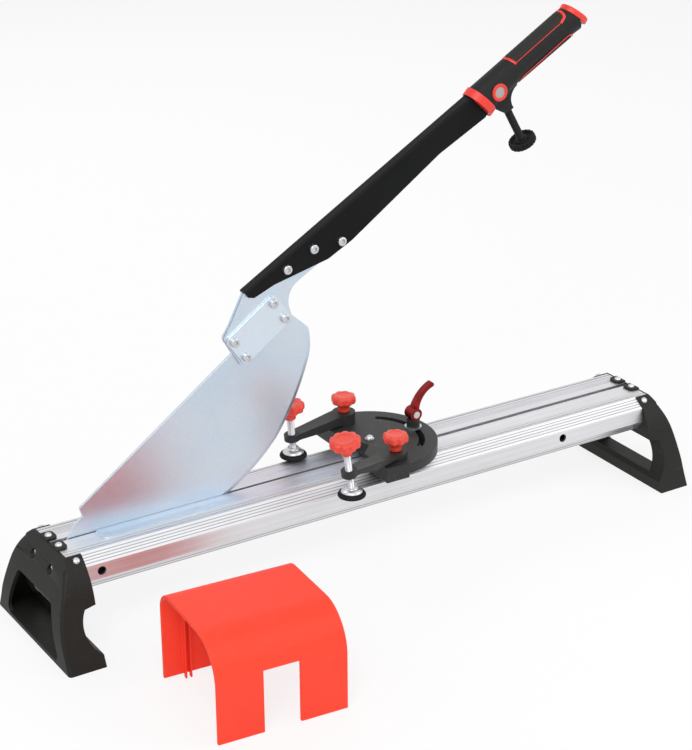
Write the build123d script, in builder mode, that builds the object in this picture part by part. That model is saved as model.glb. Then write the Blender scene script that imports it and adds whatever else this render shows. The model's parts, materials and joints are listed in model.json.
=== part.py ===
"""Lever guillotine for laminate and vinyl flooring panels, on an aluminium bench.

Millimetres, +Z up. The origin is the centre of the sole of the foot at the blade's pivot, and +X runs
along the bench to the far foot. The operator stands on the -Y side.
"""
import os
from math import atan2, cos, radians, sin, tan

from build123d import *

# Running clearances and one overrun for every cut
fit_gap = 0.1
seat_gap = 0.3
overrun = 5.0

# Bench: two mirrored rails between two moulded feet
base_length = 800.0
bed_height = 104.3
rail_underside = 67.0
slot_width = 6.0
rail_wall = 2.5
rail_half_width = 50.5
rail_top_half_width = 36.0
shoulder_height = 94.5
shoulder_half_width = 49.5
flank_height = 78.0
rail_bottom_half_width = 43.0
rail_end_setback = 27.0
nut_channel_half_width = 9.0
nut_channel_height = 6.0
lip_thickness = 3.0
screw_port_y = 20.5
screw_port_height = 86.5
screw_port_radius = 2.1
screw_port_wall = 2.4
groove_depth = 0.6
groove_width = 0.9
rib_pitch = 2.7

# Feet
foot_depth = 41.0
foot_sole_half_width = 89.7
foot_waist_height = 62.0
foot_waist_half_width = 66.0
foot_flare_height = 31.0
foot_flare_half_width = 76.0
foot_shoulder_height = 86.0
foot_shoulder_half_width = 56.2
foot_top_half_width = 38.6
foot_top_setback = 24.7
foot_lean_height = 52.0
foot_lean_setback = 3.6
foot_wall = 4.5
foot_floor = 4.5
wing_reach = 43.0
wing_cusp_height = 60.0
notch_reach = 26.3
notch_height = 45.0
notch_foot_height = 12.0
window_top_half_width = 41.0
window_bottom_half_width = 65.0
window_top = 62.0
window_radius = 7.5
ledge_top_gap = 0.3
ledge_thickness = 4.0
tab_start_setback = 25.2
tab_corner_radius = 5.0
tab_thickness = 2.4
tab_width = 17.0
tab_reach = 37.5
tab_y = 12.6

# Screws of the feet: radius and height of the pan head, radius and length of the shank
pan_head_radius = 3.9
pan_head_height = 2.4
pan_shank_radius = 2.0
pan_shank_length = 9.0
tab_screw_setback = 30.3
side_screw_setback = 35.3
side_screw_share = 0.46
side_screw_seat_wall = 1.2
end_screw_pocket_radius = 4.9
end_screw_seat_wall = 2.0

# Anvil plates beside the slot
anvil_thickness = 1.6
anvil_start = 55.2
anvil_end = 383.0
anvil_width = 21.0
anvil_corner_radius = 8.0
blade_side_gap = 0.45
anvil_screw_y = 13.0
anvil_screw_start = 63.9
anvil_screw_pitch = 103.4
anvil_screw_count = 4
anvil_screw_head_radius = 3.4
anvil_screw_shank_radius = 1.7
anvil_screw_length = 8.0

# Shapes of the fasteners' heads
dome_shoulder_share = 0.76
head_round_share = 0.3
socket_share = 0.55
socket_depth_share = 0.6

# Blade pivot and the far tie bolt, both on the height of the pivot
pivot_x = 39.0
pivot_drop = 18.3
pivot_bolt_radius = 4.0
pivot_head_radius = 6.5
pivot_head_height = 8.0
pivot_nut_height = 6.5
pivot_washer_radius = 9.0
key_hole_radius = 4.75
tie_setback = 159.5
tie_radius = 3.0
tie_head_radius = 5.0
tie_head_height = 6.0
tie_bush_radius = 6.0

# Blade and arm, drawn level from the pivot and then raised by the rest tilt
rest_tilt = 29.5
blade_thickness = 3.0
bracket_thickness = 2.5
joint_plate_thickness = 2.5
heel_radius = 21.0
heel_back_x = 24.9
heel_back_y = 42.1
heel_notch_x = 22.7
heel_notch_y = 32.0
heel_tip_x = -5.2
heel_tip_y = 21.6
heel_crest_share = 0.73
heel_chin_x = 8.0
spine_end_x = 247.4
spine_end_y = 65.7
edge_near_x = 90.0
edge_near_y = -57.0
edge_low_x = 172.0
edge_low_y = -68.2
edge_mid_x = 238.0
edge_mid_y = -54.8
edge_turn_x = 285.3
edge_turn_y = -26.9
edge_nose_x = 309.0
edge_nose_y = -7.6
nose_low_x = 326.5
nose_low_y = 14.0
nose_x = 331.5
nose_y = 27.5
shoulder_x = 321.5
shoulder_y = 58.0
blade_inset = 1.0
bevel_width = 5.0
bevel_depth = 2.2
bracket_left_x = 246.5
bracket_left_y = 85.8
bracket_step_x = 260.3
bracket_step_y = 92.7
bracket_peak_x = 291.0
bracket_top_y = 112.6
bracket_tail_x = 416.0
bracket_tail_radius = 7.0
bracket_belly_y = 83.0
bracket_throat_x = 348.0
bracket_curve_x = 331.8
bracket_curve_y = 77.4
bracket_right_x = 323.3
bracket_right_y = 61.6
bracket_bottom_y = 50.0
joint_x = 283.3
joint_y = 68.8
joint_turn = 5.6
joint_plate_length = 71.0
joint_plate_width = 39.0
joint_plate_radius = 6.0
joint_bolt_span = 57.6
joint_bolt_rise = 23.5
m6_radius = 3.0
m6_head_radius = 5.0
m6_head_height = 4.0
m6_nut_height = 5.0

# Arm: a folded channel, open below
channel_half_width = 7.0
channel_sheet = 2.0
channel_start_x = 291.3
channel_start_y = 115.0
channel_end_x = 700.0
channel_rise = 6.6
toe_front_y = 108.5
toe_x = 296.5
toe_y = 103.6
toe_heel_x = 322.0
toe_heel_y = 100.2
knee_x = 386.8
knee_y = 81.4
belly_x = 420.0
belly_y = 80.2
throat_x = 552.0
throat_y = 91.6
collar_throat_x = 618.0
throat_end_y = 89.3
tang_start_x = 640.0
tang_start_y = 98.0
tang_end_y = 102.0
arm_bolt_points = ((342.0, 104.9), (378.0, 103.3), (408.6, 88.4))
spacer_radius = 6.0

# Grip with its collar, cap, badge and stop
grip_start_x = 626.0
grip_start_y = 106.2
grip_waist_x = 668.0
grip_waist_y = 109.8
grip_end_x = 765.5
grip_end_y = 111.7
grip_start_depth = 18.2
grip_waist_depth = 15.9
grip_end_depth = 16.4
grip_start_breadth = 15.4
grip_waist_breadth = 13.6
grip_end_breadth = 14.2
collar_lean = 17.0
cap_lean = 24.0
collar_length = 6.5
collar_proud = 1.6
cap_length = 6.5
cap_proud = 0.8
cap_edge_radius = 2.0
badge_x = 643.0
badge_y = 107.0
badge_radius = 9.6
badge_core_radius = 6.0
badge_thickness = 2.0
badge_sink = 1.2
badge_core_sink = 0.6
lug_start_x = 634.0
lug_waist_x = 656.0
lug_waist_y = 86.5
lug_end_x = 669.0
lug_bottom_y = 74.5
lug_bottom_half_length = 5.6
lug_half_width = 6.4
lug_root_y = 95.0
post_depth = 11.0
stop_x = 648.0
stop_bottom_y = 26.5
stop_disc_thickness = 8.0
stop_disc_radius = 15.5
stop_post_radius = 4.4
stop_notch_radius = 1.3
stop_notch_count = 20
stop_dish_radius = 12.0
stop_hub_radius = 7.5
stop_dish_depth = 3.0

# Angle gauge turning on the bed
gauge_x = 390.0
gauge_radius = 75.0
gauge_rise = 17.6
gauge_disc_rise = 5.6
gauge_bearing_setback = 5.0
fence_setback = 24.5
fence_half_length = 74.0
fence_back = 4.0
gauge_bearing_half_width = 34.0
notch_root_x = 9.0
notch_root_half_width = 12.5
notch_mouth_x = 25.5
notch_mouth_half_width = 29.0
gauge_boss_radius = 12.5
arc_slot_radius = 57.5
arc_slot_width = 7.0
arc_slot_half_angle = 48.0
gauge_screw_head_radius = 4.4
gauge_screw_head_height = 3.0
gauge_washer_radius = 5.2
gauge_washer_thickness = 1.2
slot_nut_length = 20.0
slot_nut_height = 5.0

# Clamp arms, their lock knobs, screws and pads
front_lock_y = -52.4
rear_lock_y = 54.0
clamp_arm_length = 77.0
front_arm_heading = 199.9
rear_arm_heading = 192.0
arm_boss_radius = 13.0
arm_ring_radius = 8.6
arm_ring_thickness = 7.0
arm_waist_share = 0.82
arm_bend_share = 0.55
arm_clearance = 2.5
front_boss_height = 7.0
rear_boss_height = 13.0
front_ring_rise = 26.1
rear_ring_rise = 21.6
front_screw_lean = 10.0
rear_screw_lean = 5.0
lock_stud_radius = 3.0
lock_knob_radius = 14.0
lock_knob_height = 13.0
clamp_screw_radius = 4.0
clamp_knob_radius = 17.0
clamp_knob_height = 13.0
knob_stem_radius = 6.5
knob_stem_length = 7.0
lock_knob_lobes = 8
clamp_knob_lobes = 10
lock_scallop_radius = 4.6
clamp_scallop_radius = 4.4
scallop_depth = 1.7
knob_edge_radius = 1.6
knob_crown = 4.0
pad_rise = 0.7
pad_rubber_height = 5.0
pad_rubber_radius = 15.2
pad_cup_radius = 11.8
pad_cup_height = 4.8
pad_neck_radius = 6.5
pad_neck_height = 2.0
pad_socket_floor = 1.8
pad_rubber_round = 1.2
cup_rim_share = 0.3
cup_shoulder_share = 0.82
front_knob_rise = 59.1
rear_knob_rise = 54.1

# Cam lever that locks the gauge
lever_x_from_gauge = 57.5
lever_washer_radius = 9.5
lever_washer_thickness = 2.0
saddle_radius = 7.5
saddle_drop = 7.2
barrel_rise = 35.1
barrel_radius = 4.0
barrel_half_length = 7.5
cam_radius = 7.3
lever_half_width = 3.5
lever_root_thickness = 6.8
lever_tip_thickness = 5.2
lever_middle_share = 0.37
lever_tip_radius = 2.3
lever_fork_half_width = 6.8
lever_heel_share = 0.85
lever_slot_half_width = 3.3
lever_eye_radius = 5.6
lever_slot_turn = -82.5
lever_mid_x = 6.5
lever_mid_z = 17.0
lever_tip_x = 25.0
lever_tip_z = 31.0

# Panel support, a folded plastic stand as high as the bed
support_x = 47.0
support_y = -274.0
support_turn = -4.0
support_length = 138.0
support_depth = 132.0
support_sheet = 4.0
support_front_radius = 44.0
support_rear_radius = 22.0
support_leg_width = 49.0
support_notch_width = 38.5
support_notch_height = 67.0
support_rib_thickness = 2.0
support_rib_depth = 5.0
support_rib_height = 74.0
support_rib_inset = 22.0
support_rib_pitch = 5.5
support_rear_gap = 4.0

# Places worked out from the sizes above
bench_start = -foot_depth / 2
bench_middle = bench_start + base_length / 2
rail_start = bench_start + rail_end_setback
rail_length = base_length - 2 * rail_end_setback
slot_half = slot_width / 2
blade_half = blade_thickness / 2
bed_top = bed_height + anvil_thickness
gauge_underside = bed_top + seat_gap
lever_x = gauge_x + lever_x_from_gauge
gauge_top = bed_top + gauge_rise
gauge_disc_underside = bed_top + gauge_disc_rise
front_ring_underside = bed_top + front_ring_rise
rear_ring_underside = bed_top + rear_ring_rise
pad_underside = bed_top + pad_rise
pad_seat = pad_underside + pad_rubber_height
front_knob_underside = bed_top + front_knob_rise
rear_knob_underside = bed_top + rear_knob_rise
barrel_height = bed_top + barrel_rise
pivot_height = bed_height - pivot_drop
tie_x = bench_start + base_length - tie_setback
nut_channel_floor = bed_height - lip_thickness - nut_channel_height
ledge_underside = rail_underside - ledge_top_gap - ledge_thickness
tab_start = bench_start + tab_start_setback
tab_end = bench_start + tab_reach
mirror_plane = Plane.YZ.offset(bench_middle)
rear_mirror = Plane.XZ

tilt = radians(rest_tilt)
arm_direction = Vector(cos(tilt), 0, sin(tilt))
arm_up = Vector(-sin(tilt), 0, cos(tilt))
swing_plane = Plane(origin=(pivot_x, 0, pivot_height), x_dir=arm_direction, z_dir=(0, -1, 0))


def swing_point(along, up, y=0.0):
    """Place of a point of the level drawing, in the part's frame at rest."""
    return Vector(pivot_x, y, pivot_height) + arm_direction * along + arm_up * up


def save(piece, label):
    """Label one finished piece and write its STEP file."""
    piece.part.label = label
    export_step(piece.part, f"parts/{label}.step")


os.makedirs("parts", exist_ok=True)

# Rails
shoulder_fall = atan2(bed_height - shoulder_height, shoulder_half_width - rail_top_half_width)


def side_screw_plane(x, side):
    """Seat of one side screw in the sloping wing of a foot, its normal pointing out of the rail."""
    down_slope = Vector(0, side * (shoulder_half_width - rail_top_half_width), shoulder_height - bed_height)
    out = Vector(0, side * sin(shoulder_fall), cos(shoulder_fall))
    crest = Vector(x, side * rail_top_half_width, bed_height)
    seat = crest + down_slope * side_screw_share + out * (fit_gap + side_screw_seat_wall)
    return Plane(origin=seat, x_dir=(1, 0, 0), z_dir=out)


tab_screw_xs = (bench_start + tab_screw_setback, bench_start + base_length - tab_screw_setback)
side_screw_xs = (bench_start + side_screw_setback, bench_start + base_length - side_screw_setback)
anvil_screw_xs = [anvil_screw_start + i * anvil_screw_pitch for i in range(anvil_screw_count)]
top_groove_ys = [rail_top_half_width - groove_width * step for step in (2, 5)]

with BuildPart() as rail_front:
    with BuildSketch(Plane.YZ.offset(rail_start)):
        with BuildLine():
            Polyline(
                (-slot_half, bed_height),
                (-rail_top_half_width, bed_height),
                (-shoulder_half_width, shoulder_height),
                (-rail_half_width, flank_height),
                (-rail_bottom_half_width, rail_underside),
                (-slot_half, rail_underside),
                (-slot_half, nut_channel_floor),
                (-nut_channel_half_width, nut_channel_floor),
                (-nut_channel_half_width, nut_channel_floor + nut_channel_height),
                (-slot_half, nut_channel_floor + nut_channel_height),
                close=True,
            )
        make_face()
        with BuildLine():
            Polyline(
                (-slot_half - rail_wall, rail_underside + rail_wall),
                (-screw_port_y + rail_wall / 2, rail_underside + rail_wall),
                (-screw_port_y + rail_wall / 2, bed_height - rail_wall),
                (-nut_channel_half_width - rail_wall, bed_height - rail_wall),
                (-nut_channel_half_width - rail_wall, nut_channel_floor - rail_wall),
                (-slot_half - rail_wall, nut_channel_floor - rail_wall),
                close=True,
            )
        make_face(mode=Mode.SUBTRACT)
        with BuildLine():
            Polyline(
                (-screw_port_y - rail_wall / 2, rail_underside + rail_wall),
                (-rail_bottom_half_width + rail_wall / 2, rail_underside + rail_wall),
                (-rail_half_width + rail_wall, flank_height),
                (-shoulder_half_width + rail_wall, shoulder_height - rail_wall / 2),
                (-rail_top_half_width, bed_height - rail_wall),
                (-screw_port_y - rail_wall / 2, bed_height - rail_wall),
                close=True,
            )
        make_face(mode=Mode.SUBTRACT)
        with Locations((-screw_port_y, screw_port_height)):
            Circle(screw_port_radius + screw_port_wall)
            Circle(screw_port_radius, mode=Mode.SUBTRACT)
        with Locations(*[(-y, bed_height) for y in top_groove_ys]):
            Rectangle(groove_width, 2 * groove_depth, mode=Mode.SUBTRACT)
    extrude(amount=rail_length)
    with BuildSketch(Plane.XZ):
        with Locations((pivot_x, pivot_height)):
            Circle(pivot_bolt_radius + fit_gap)
        with Locations((tie_x, pivot_height)):
            Circle(tie_radius + fit_gap)
    extrude(amount=slot_half + rail_wall + overrun / 2, mode=Mode.SUBTRACT)
    with BuildSketch(Plane.XZ.offset(slot_half + rail_wall + pivot_head_height)):
        with Locations((pivot_x, pivot_height), (tie_x, pivot_height)):
            Circle(key_hole_radius)
    extrude(amount=rail_half_width, mode=Mode.SUBTRACT)
    with BuildSketch(Plane.XY.offset(bed_height - pan_shank_length)):
        with Locations(*[(x, -tab_y) for x in tab_screw_xs]):
            Circle(pan_shank_radius + fit_gap)
        with Locations(*[(x, -anvil_screw_y) for x in anvil_screw_xs]):
            Circle(anvil_screw_shank_radius + fit_gap)
    extrude(amount=pan_shank_length + overrun, mode=Mode.SUBTRACT)
    for x in side_screw_xs:
        with BuildSketch(side_screw_plane(x, -1)):
            Circle(pan_shank_radius + fit_gap)
        extrude(amount=-pan_shank_length, mode=Mode.SUBTRACT)

with BuildPart() as rail_rear:
    add(rail_front.part)
    mirror(about=rear_mirror, mode=Mode.REPLACE)
    with BuildSketch(Plane.YZ.offset(rail_start)):
        with Locations(*[(nut_channel_half_width + step * rib_pitch, bed_height) for step in range(2, 7)]):
            Rectangle(groove_width, 2 * groove_depth)
    extrude(amount=rail_length, mode=Mode.SUBTRACT)

save(rail_front, "rail_front")
save(rail_rear, "rail_rear")


# Feet: a moulded arch that closes the rail ends, with wings along the rails and tabs on top
def outer_arch(grow=0.0):
    """The foot's outline across the bench, drawn inside an open BuildLine, grown outwards by a margin."""
    half = foot_sole_half_width + grow
    waist = (foot_waist_half_width + grow, foot_waist_height)
    crown = (foot_top_half_width + grow, bed_height)
    flare = (foot_flare_half_width + grow, foot_flare_height)
    shoulder = (foot_shoulder_half_width + grow, foot_shoulder_height)
    for side in (-1, 1):
        ThreePointArc((side * half, 0), (side * flare[0], flare[1]), (side * waist[0], waist[1]))
        ThreePointArc(
            (side * waist[0], waist[1]), (side * shoulder[0], shoulder[1]), (side * crown[0], crown[1])
        )
    Line((-crown[0], crown[1]), (crown[0], crown[1]))
    Line((-half, 0), (half, 0))


def rail_outline(grow=0.0):
    """The outline of both rails together, drawn inside an open BuildLine, grown by a clearance."""
    Polyline(
        (-rail_top_half_width - grow, bed_height + overrun),
        (-rail_top_half_width - grow, bed_height),
        (-shoulder_half_width - grow, shoulder_height),
        (-rail_half_width - grow, flank_height),
        (-rail_bottom_half_width, rail_underside - grow),
        (rail_bottom_half_width, rail_underside - grow),
        (rail_half_width + grow, flank_height),
        (shoulder_half_width + grow, shoulder_height),
        (rail_top_half_width + grow, bed_height),
        (rail_top_half_width + grow, bed_height + overrun),
        close=True,
    )


def foot_side_profile(wall=0.0):
    """The foot seen from the side, drawn inside an open BuildLine, its leaning end moved in by a wall."""
    lean_foot = (bench_start + wall, 0)
    lean_middle = (bench_start + foot_lean_setback + wall, foot_lean_height)
    lean_top = (bench_start + foot_top_setback + wall, bed_height)
    ThreePointArc(lean_foot, lean_middle, lean_top)
    cusp = (bench_start + notch_reach + foot_wall, wing_cusp_height - foot_wall / 2)
    Polyline(
        lean_top,
        (bench_start + wing_reach, bed_height),
        (bench_start + wing_reach, wing_cusp_height),
        cusp,
    )
    notch_foot = (bench_start + foot_depth, notch_foot_height)
    ThreePointArc(cusp, (bench_start + notch_reach, notch_height), notch_foot)
    Polyline(notch_foot, (bench_start + foot_depth, 0), lean_foot)


# The space inside a foot: between its end wall and its hollowed back, below the ledge for the rails
with BuildPart() as foot_hollow:
    with BuildSketch(Plane.YZ.offset(bench_start)):
        with BuildLine():
            outer_arch(-foot_wall)
        make_face()
    extrude(amount=foot_depth + overrun)
    with BuildSketch(Plane.XZ):
        with BuildLine():
            ThreePointArc(
                (bench_start + foot_wall, 0),
                (bench_start + foot_lean_setback + foot_wall, foot_lean_height),
                (bench_start + foot_top_setback + foot_wall, bed_height),
            )
            Polyline(
                (bench_start + foot_top_setback + foot_wall, bed_height),
                (bench_start + wing_reach, bed_height),
                (bench_start + notch_reach, wing_cusp_height),
            )
            ThreePointArc(
                (bench_start + notch_reach, wing_cusp_height),
                (bench_start + notch_reach - foot_wall, notch_height),
                (bench_start + foot_depth - foot_wall, notch_foot_height),
            )
            Polyline(
                (bench_start + foot_depth - foot_wall, notch_foot_height),
                (bench_start + foot_depth - foot_wall, 0),
                (bench_start + foot_wall, 0),
            )
        make_face()
    extrude(amount=foot_sole_half_width, both=True, mode=Mode.INTERSECT)
    with BuildSketch(Plane.XY.offset(foot_floor)):
        with Locations((bench_start + foot_depth / 2, 0)):
            Rectangle(2 * foot_depth, 2 * foot_sole_half_width)
    extrude(amount=ledge_underside - foot_floor, mode=Mode.INTERSECT)

with BuildPart() as pivot_foot:
    # The arch seen from the end, cut to the leaning outline seen from the side
    with BuildSketch(Plane.YZ.offset(bench_start)):
        with BuildLine():
            outer_arch()
        make_face()
    extrude(amount=wing_reach)
    with BuildSketch(Plane.XZ):
        with BuildLine():
            foot_side_profile()
        make_face()
    extrude(amount=foot_sole_half_width + overrun, both=True, mode=Mode.INTERSECT)
    add(foot_hollow.part, mode=Mode.SUBTRACT)
    # Window through the end wall
    with BuildSketch(Plane.YZ.offset(bench_start - overrun)):
        with BuildLine():
            Polyline(
                (-window_bottom_half_width, foot_floor),
                (-window_top_half_width, window_top),
                (window_top_half_width, window_top),
                (window_bottom_half_width, foot_floor),
                close=True,
            )
        make_face()
        fillet(vertices(), radius=window_radius)
    extrude(amount=foot_depth, mode=Mode.SUBTRACT)
    # Socket for the rail ends
    with BuildSketch(Plane.YZ.offset(rail_start)):
        with BuildLine():
            rail_outline(fit_gap)
        make_face()
    extrude(amount=foot_depth, mode=Mode.SUBTRACT)
    # Tabs on top of the rails
    with BuildSketch(Plane.XY.offset(bed_height)):
        with Locations(*[((tab_start + tab_end) / 2, side * tab_y) for side in (-1, 1)]):
            Rectangle(tab_end - tab_start, tab_width)
    extrude(amount=tab_thickness)
    fillet(edges().filter_by(Axis.Z).group_by(Axis.Z)[-1].group_by(Axis.X)[-1], radius=tab_corner_radius)
    # Screw holes of the tabs, the end and the wings
    with BuildSketch(Plane.XY.offset(bed_height - overrun)):
        with Locations(*[(tab_screw_xs[0], side * tab_y) for side in (-1, 1)]):
            Circle(pan_shank_radius + fit_gap)
    extrude(amount=2 * overrun, mode=Mode.SUBTRACT)
    with BuildSketch(Plane.YZ.offset(bench_start)):
        with Locations(*[(side * screw_port_y, screw_port_height) for side in (-1, 1)]):
            Circle(end_screw_pocket_radius)
    extrude(amount=rail_end_setback - end_screw_seat_wall, mode=Mode.SUBTRACT)
    with BuildSketch(Plane.YZ.offset(bench_start)):
        with Locations(*[(side * screw_port_y, screw_port_height) for side in (-1, 1)]):
            Circle(pan_shank_radius + fit_gap)
    extrude(amount=foot_depth, mode=Mode.SUBTRACT)
    for side in (-1, 1):
        with BuildSketch(side_screw_plane(side_screw_xs[0], side)):
            Circle(pan_shank_radius + fit_gap)
        extrude(amount=-pan_shank_length, mode=Mode.SUBTRACT)
        with BuildSketch(side_screw_plane(side_screw_xs[0], side)):
            Circle(pan_head_radius + fit_gap)
        extrude(amount=overrun, mode=Mode.SUBTRACT)

with BuildPart() as far_foot:
    add(pivot_foot.part)
    mirror(about=mirror_plane, mode=Mode.REPLACE)

save(pivot_foot, "pivot_foot")
save(far_foot, "far_foot")


# Fasteners, each made on its seat: the head above the seat, the shank below it
def pan_screw(head_radius, head_height, shank_radius, shank_length):
    """A screw with a low domed head."""
    with BuildPart() as screw:
        with BuildSketch(Plane.XZ):
            with BuildLine():
                ThreePointArc(
                    (0, head_height),
                    (head_radius * dome_shoulder_share, head_height * dome_shoulder_share),
                    (head_radius, 0),
                )
                Polyline(
                    (head_radius, 0),
                    (shank_radius, 0),
                    (shank_radius, -shank_length),
                    (0, -shank_length),
                    (0, head_height),
                )
            make_face()
        revolve(axis=Axis.Z)
    return screw.part


def countersunk_screw(head_radius, head_depth, shank_radius, shank_length):
    """A screw whose flat head lies flush with its seat."""
    with BuildPart() as screw:
        with BuildSketch(Plane.XZ):
            with BuildLine():
                Polyline(
                    (0, 0),
                    (head_radius, 0),
                    (shank_radius, -head_depth),
                    (shank_radius, -shank_length),
                    (0, -shank_length),
                    close=True,
                )
            make_face()
        revolve(axis=Axis.Z)
    return screw.part


def socket_bolt(head_radius, head_height, shank_radius, shank_length):
    """A bolt with a rounded head and a hexagon socket."""
    with BuildPart() as bolt:
        with BuildSketch():
            Circle(head_radius)
        extrude(amount=head_height)
        fillet(edges().group_by(Axis.Z)[-1], radius=head_height * head_round_share)
        with BuildSketch(Plane.XY.offset(head_height)):
            RegularPolygon(head_radius * socket_share, 6)
        extrude(amount=-head_height * socket_depth_share, mode=Mode.SUBTRACT)
        with BuildSketch():
            Circle(shank_radius)
        extrude(amount=-shank_length)
    return bolt.part


def hex_nut(flat_radius, height, bore_radius):
    """A hexagon nut standing on its seat, two of its flats facing along the plane's Y."""
    with BuildPart() as nut:
        with BuildSketch():
            RegularPolygon(flat_radius, 6, major_radius=False)
            Circle(bore_radius, mode=Mode.SUBTRACT)
        extrude(amount=height)
    return nut.part


def cross_plane(x, y, z, side):
    """A seat whose normal points along -Y (side -1) or +Y (side 1)."""
    return Plane(origin=(x, y, z), x_dir=(1, 0, 0), z_dir=(0, side, 0))


def swing_seat(point, y, side):
    """The same on the blade and arm, at a point of the level drawing."""
    return Plane(origin=swing_point(point[0], point[1], y), x_dir=arm_direction, z_dir=(0, side, 0))


foot_screw = pan_screw(pan_head_radius, pan_head_height, pan_shank_radius, pan_shank_length)
end_screw_seat = rail_end_setback - end_screw_seat_wall

with BuildPart() as foot_tab_screws:
    tab_top = bed_height + tab_thickness
    with Locations(*[(x, side * tab_y, tab_top) for x in tab_screw_xs for side in (-1, 1)]):
        add(foot_screw)

with BuildPart() as foot_side_screws:
    with Locations(*[side_screw_plane(x, side) for x in side_screw_xs for side in (-1, 1)]):
        add(foot_screw)

with BuildPart() as foot_end_screws:
    for side in (-1, 1):
        near_end = Plane(
            origin=(bench_start + end_screw_seat, side * screw_port_y, screw_port_height),
            x_dir=(0, 1, 0),
            z_dir=(-1, 0, 0),
        )
        far_end = Plane(
            origin=(bench_start + base_length - end_screw_seat, side * screw_port_y, screw_port_height),
            x_dir=(0, 1, 0),
            z_dir=(1, 0, 0),
        )
        with Locations(near_end, far_end):
            add(foot_screw)

save(foot_tab_screws, "foot_tab_screws")
save(foot_side_screws, "foot_side_screws")
save(foot_end_screws, "foot_end_screws")

# Anvil plates beside the slot, held by flush screws
anvil_inner_y = blade_half + blade_side_gap
anvil_middle = (anvil_start + anvil_end) / 2

with BuildPart() as anvil_plate_front:
    with BuildSketch(Plane.XY.offset(bed_height)):
        with Locations((anvil_middle, -anvil_inner_y - anvil_width / 2)):
            Rectangle(anvil_end - anvil_start, anvil_width)
        fillet(vertices().sort_by(Axis.X)[:2].sort_by(Axis.Y)[0], radius=anvil_corner_radius)
    extrude(amount=anvil_thickness)
    with Locations(*[(x, -anvil_screw_y, bed_top) for x in anvil_screw_xs]):
        CounterSinkHole(anvil_screw_shank_radius + fit_gap, anvil_screw_head_radius + fit_gap, overrun)

with BuildPart() as anvil_plate_rear:
    add(anvil_plate_front.part)
    mirror(about=rear_mirror, mode=Mode.REPLACE)

plate_screw = countersunk_screw(
    anvil_screw_head_radius,
    anvil_screw_head_radius - anvil_screw_shank_radius,
    anvil_screw_shank_radius,
    anvil_screw_length,
)

with BuildPart() as anvil_screws:
    with Locations(*[(x, side * anvil_screw_y, bed_top) for x in anvil_screw_xs for side in (-1, 1)]):
        add(plate_screw)

save(anvil_plate_front, "anvil_plate_front")
save(anvil_plate_rear, "anvil_plate_rear")
save(anvil_screws, "anvil_screws")

# Pivot of the blade and the tie bolt at the far end, across the slot between the rails
web_face = slot_half + rail_wall
washer_thickness = slot_half - blade_half - 2 * fit_gap
pivot_cap = socket_bolt(
    pivot_head_radius, pivot_head_height, pivot_bolt_radius, 2 * web_face + pivot_nut_height
)
pivot_hex = hex_nut(pivot_head_radius, pivot_nut_height, pivot_bolt_radius + fit_gap)
tie_cap = socket_bolt(tie_head_radius, tie_head_height, tie_radius, 2 * web_face + m6_nut_height)
tie_hex = hex_nut(tie_head_radius, m6_nut_height, tie_radius + fit_gap)

with BuildPart() as pivot_bolt:
    with Locations(cross_plane(pivot_x, -web_face, pivot_height, -1)):
        add(pivot_cap)

with BuildPart() as pivot_nut:
    with Locations(cross_plane(pivot_x, web_face, pivot_height, 1)):
        add(pivot_hex)

with BuildPart() as pivot_washers:
    for side in (-1, 1):
        with BuildSketch(cross_plane(pivot_x, side * (blade_half + fit_gap), pivot_height, side)):
            Circle(pivot_washer_radius)
            Circle(pivot_bolt_radius + fit_gap, mode=Mode.SUBTRACT)
        extrude(amount=washer_thickness)

with BuildPart() as tie_bolt:
    with Locations(cross_plane(tie_x, -web_face, pivot_height, -1)):
        add(tie_cap)

with BuildPart() as tie_nut:
    with Locations(cross_plane(tie_x, web_face, pivot_height, 1)):
        add(tie_hex)

with BuildPart() as tie_bush:
    with BuildSketch(cross_plane(tie_x, 0, pivot_height, -1)):
        Circle(tie_bush_radius)
        Circle(tie_radius + fit_gap, mode=Mode.SUBTRACT)
    extrude(amount=slot_half, both=True)

save(pivot_bolt, "pivot_bolt")
save(pivot_nut, "pivot_nut")
save(pivot_washers, "pivot_washers")
save(tie_bolt, "tie_bolt")
save(tie_nut, "tie_nut")
save(tie_bush, "tie_bush")

# Points of the riveted joint, turned with its plates
turn = radians(joint_turn)
joint_bolt_points = [
    (
        joint_x + a * joint_bolt_span / 2 * cos(turn) - b * joint_bolt_rise / 2 * sin(turn),
        joint_y + a * joint_bolt_span / 2 * sin(turn) + b * joint_bolt_rise / 2 * cos(turn),
    )
    for a in (-1, 1)
    for b in (-1, 1)
]

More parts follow.
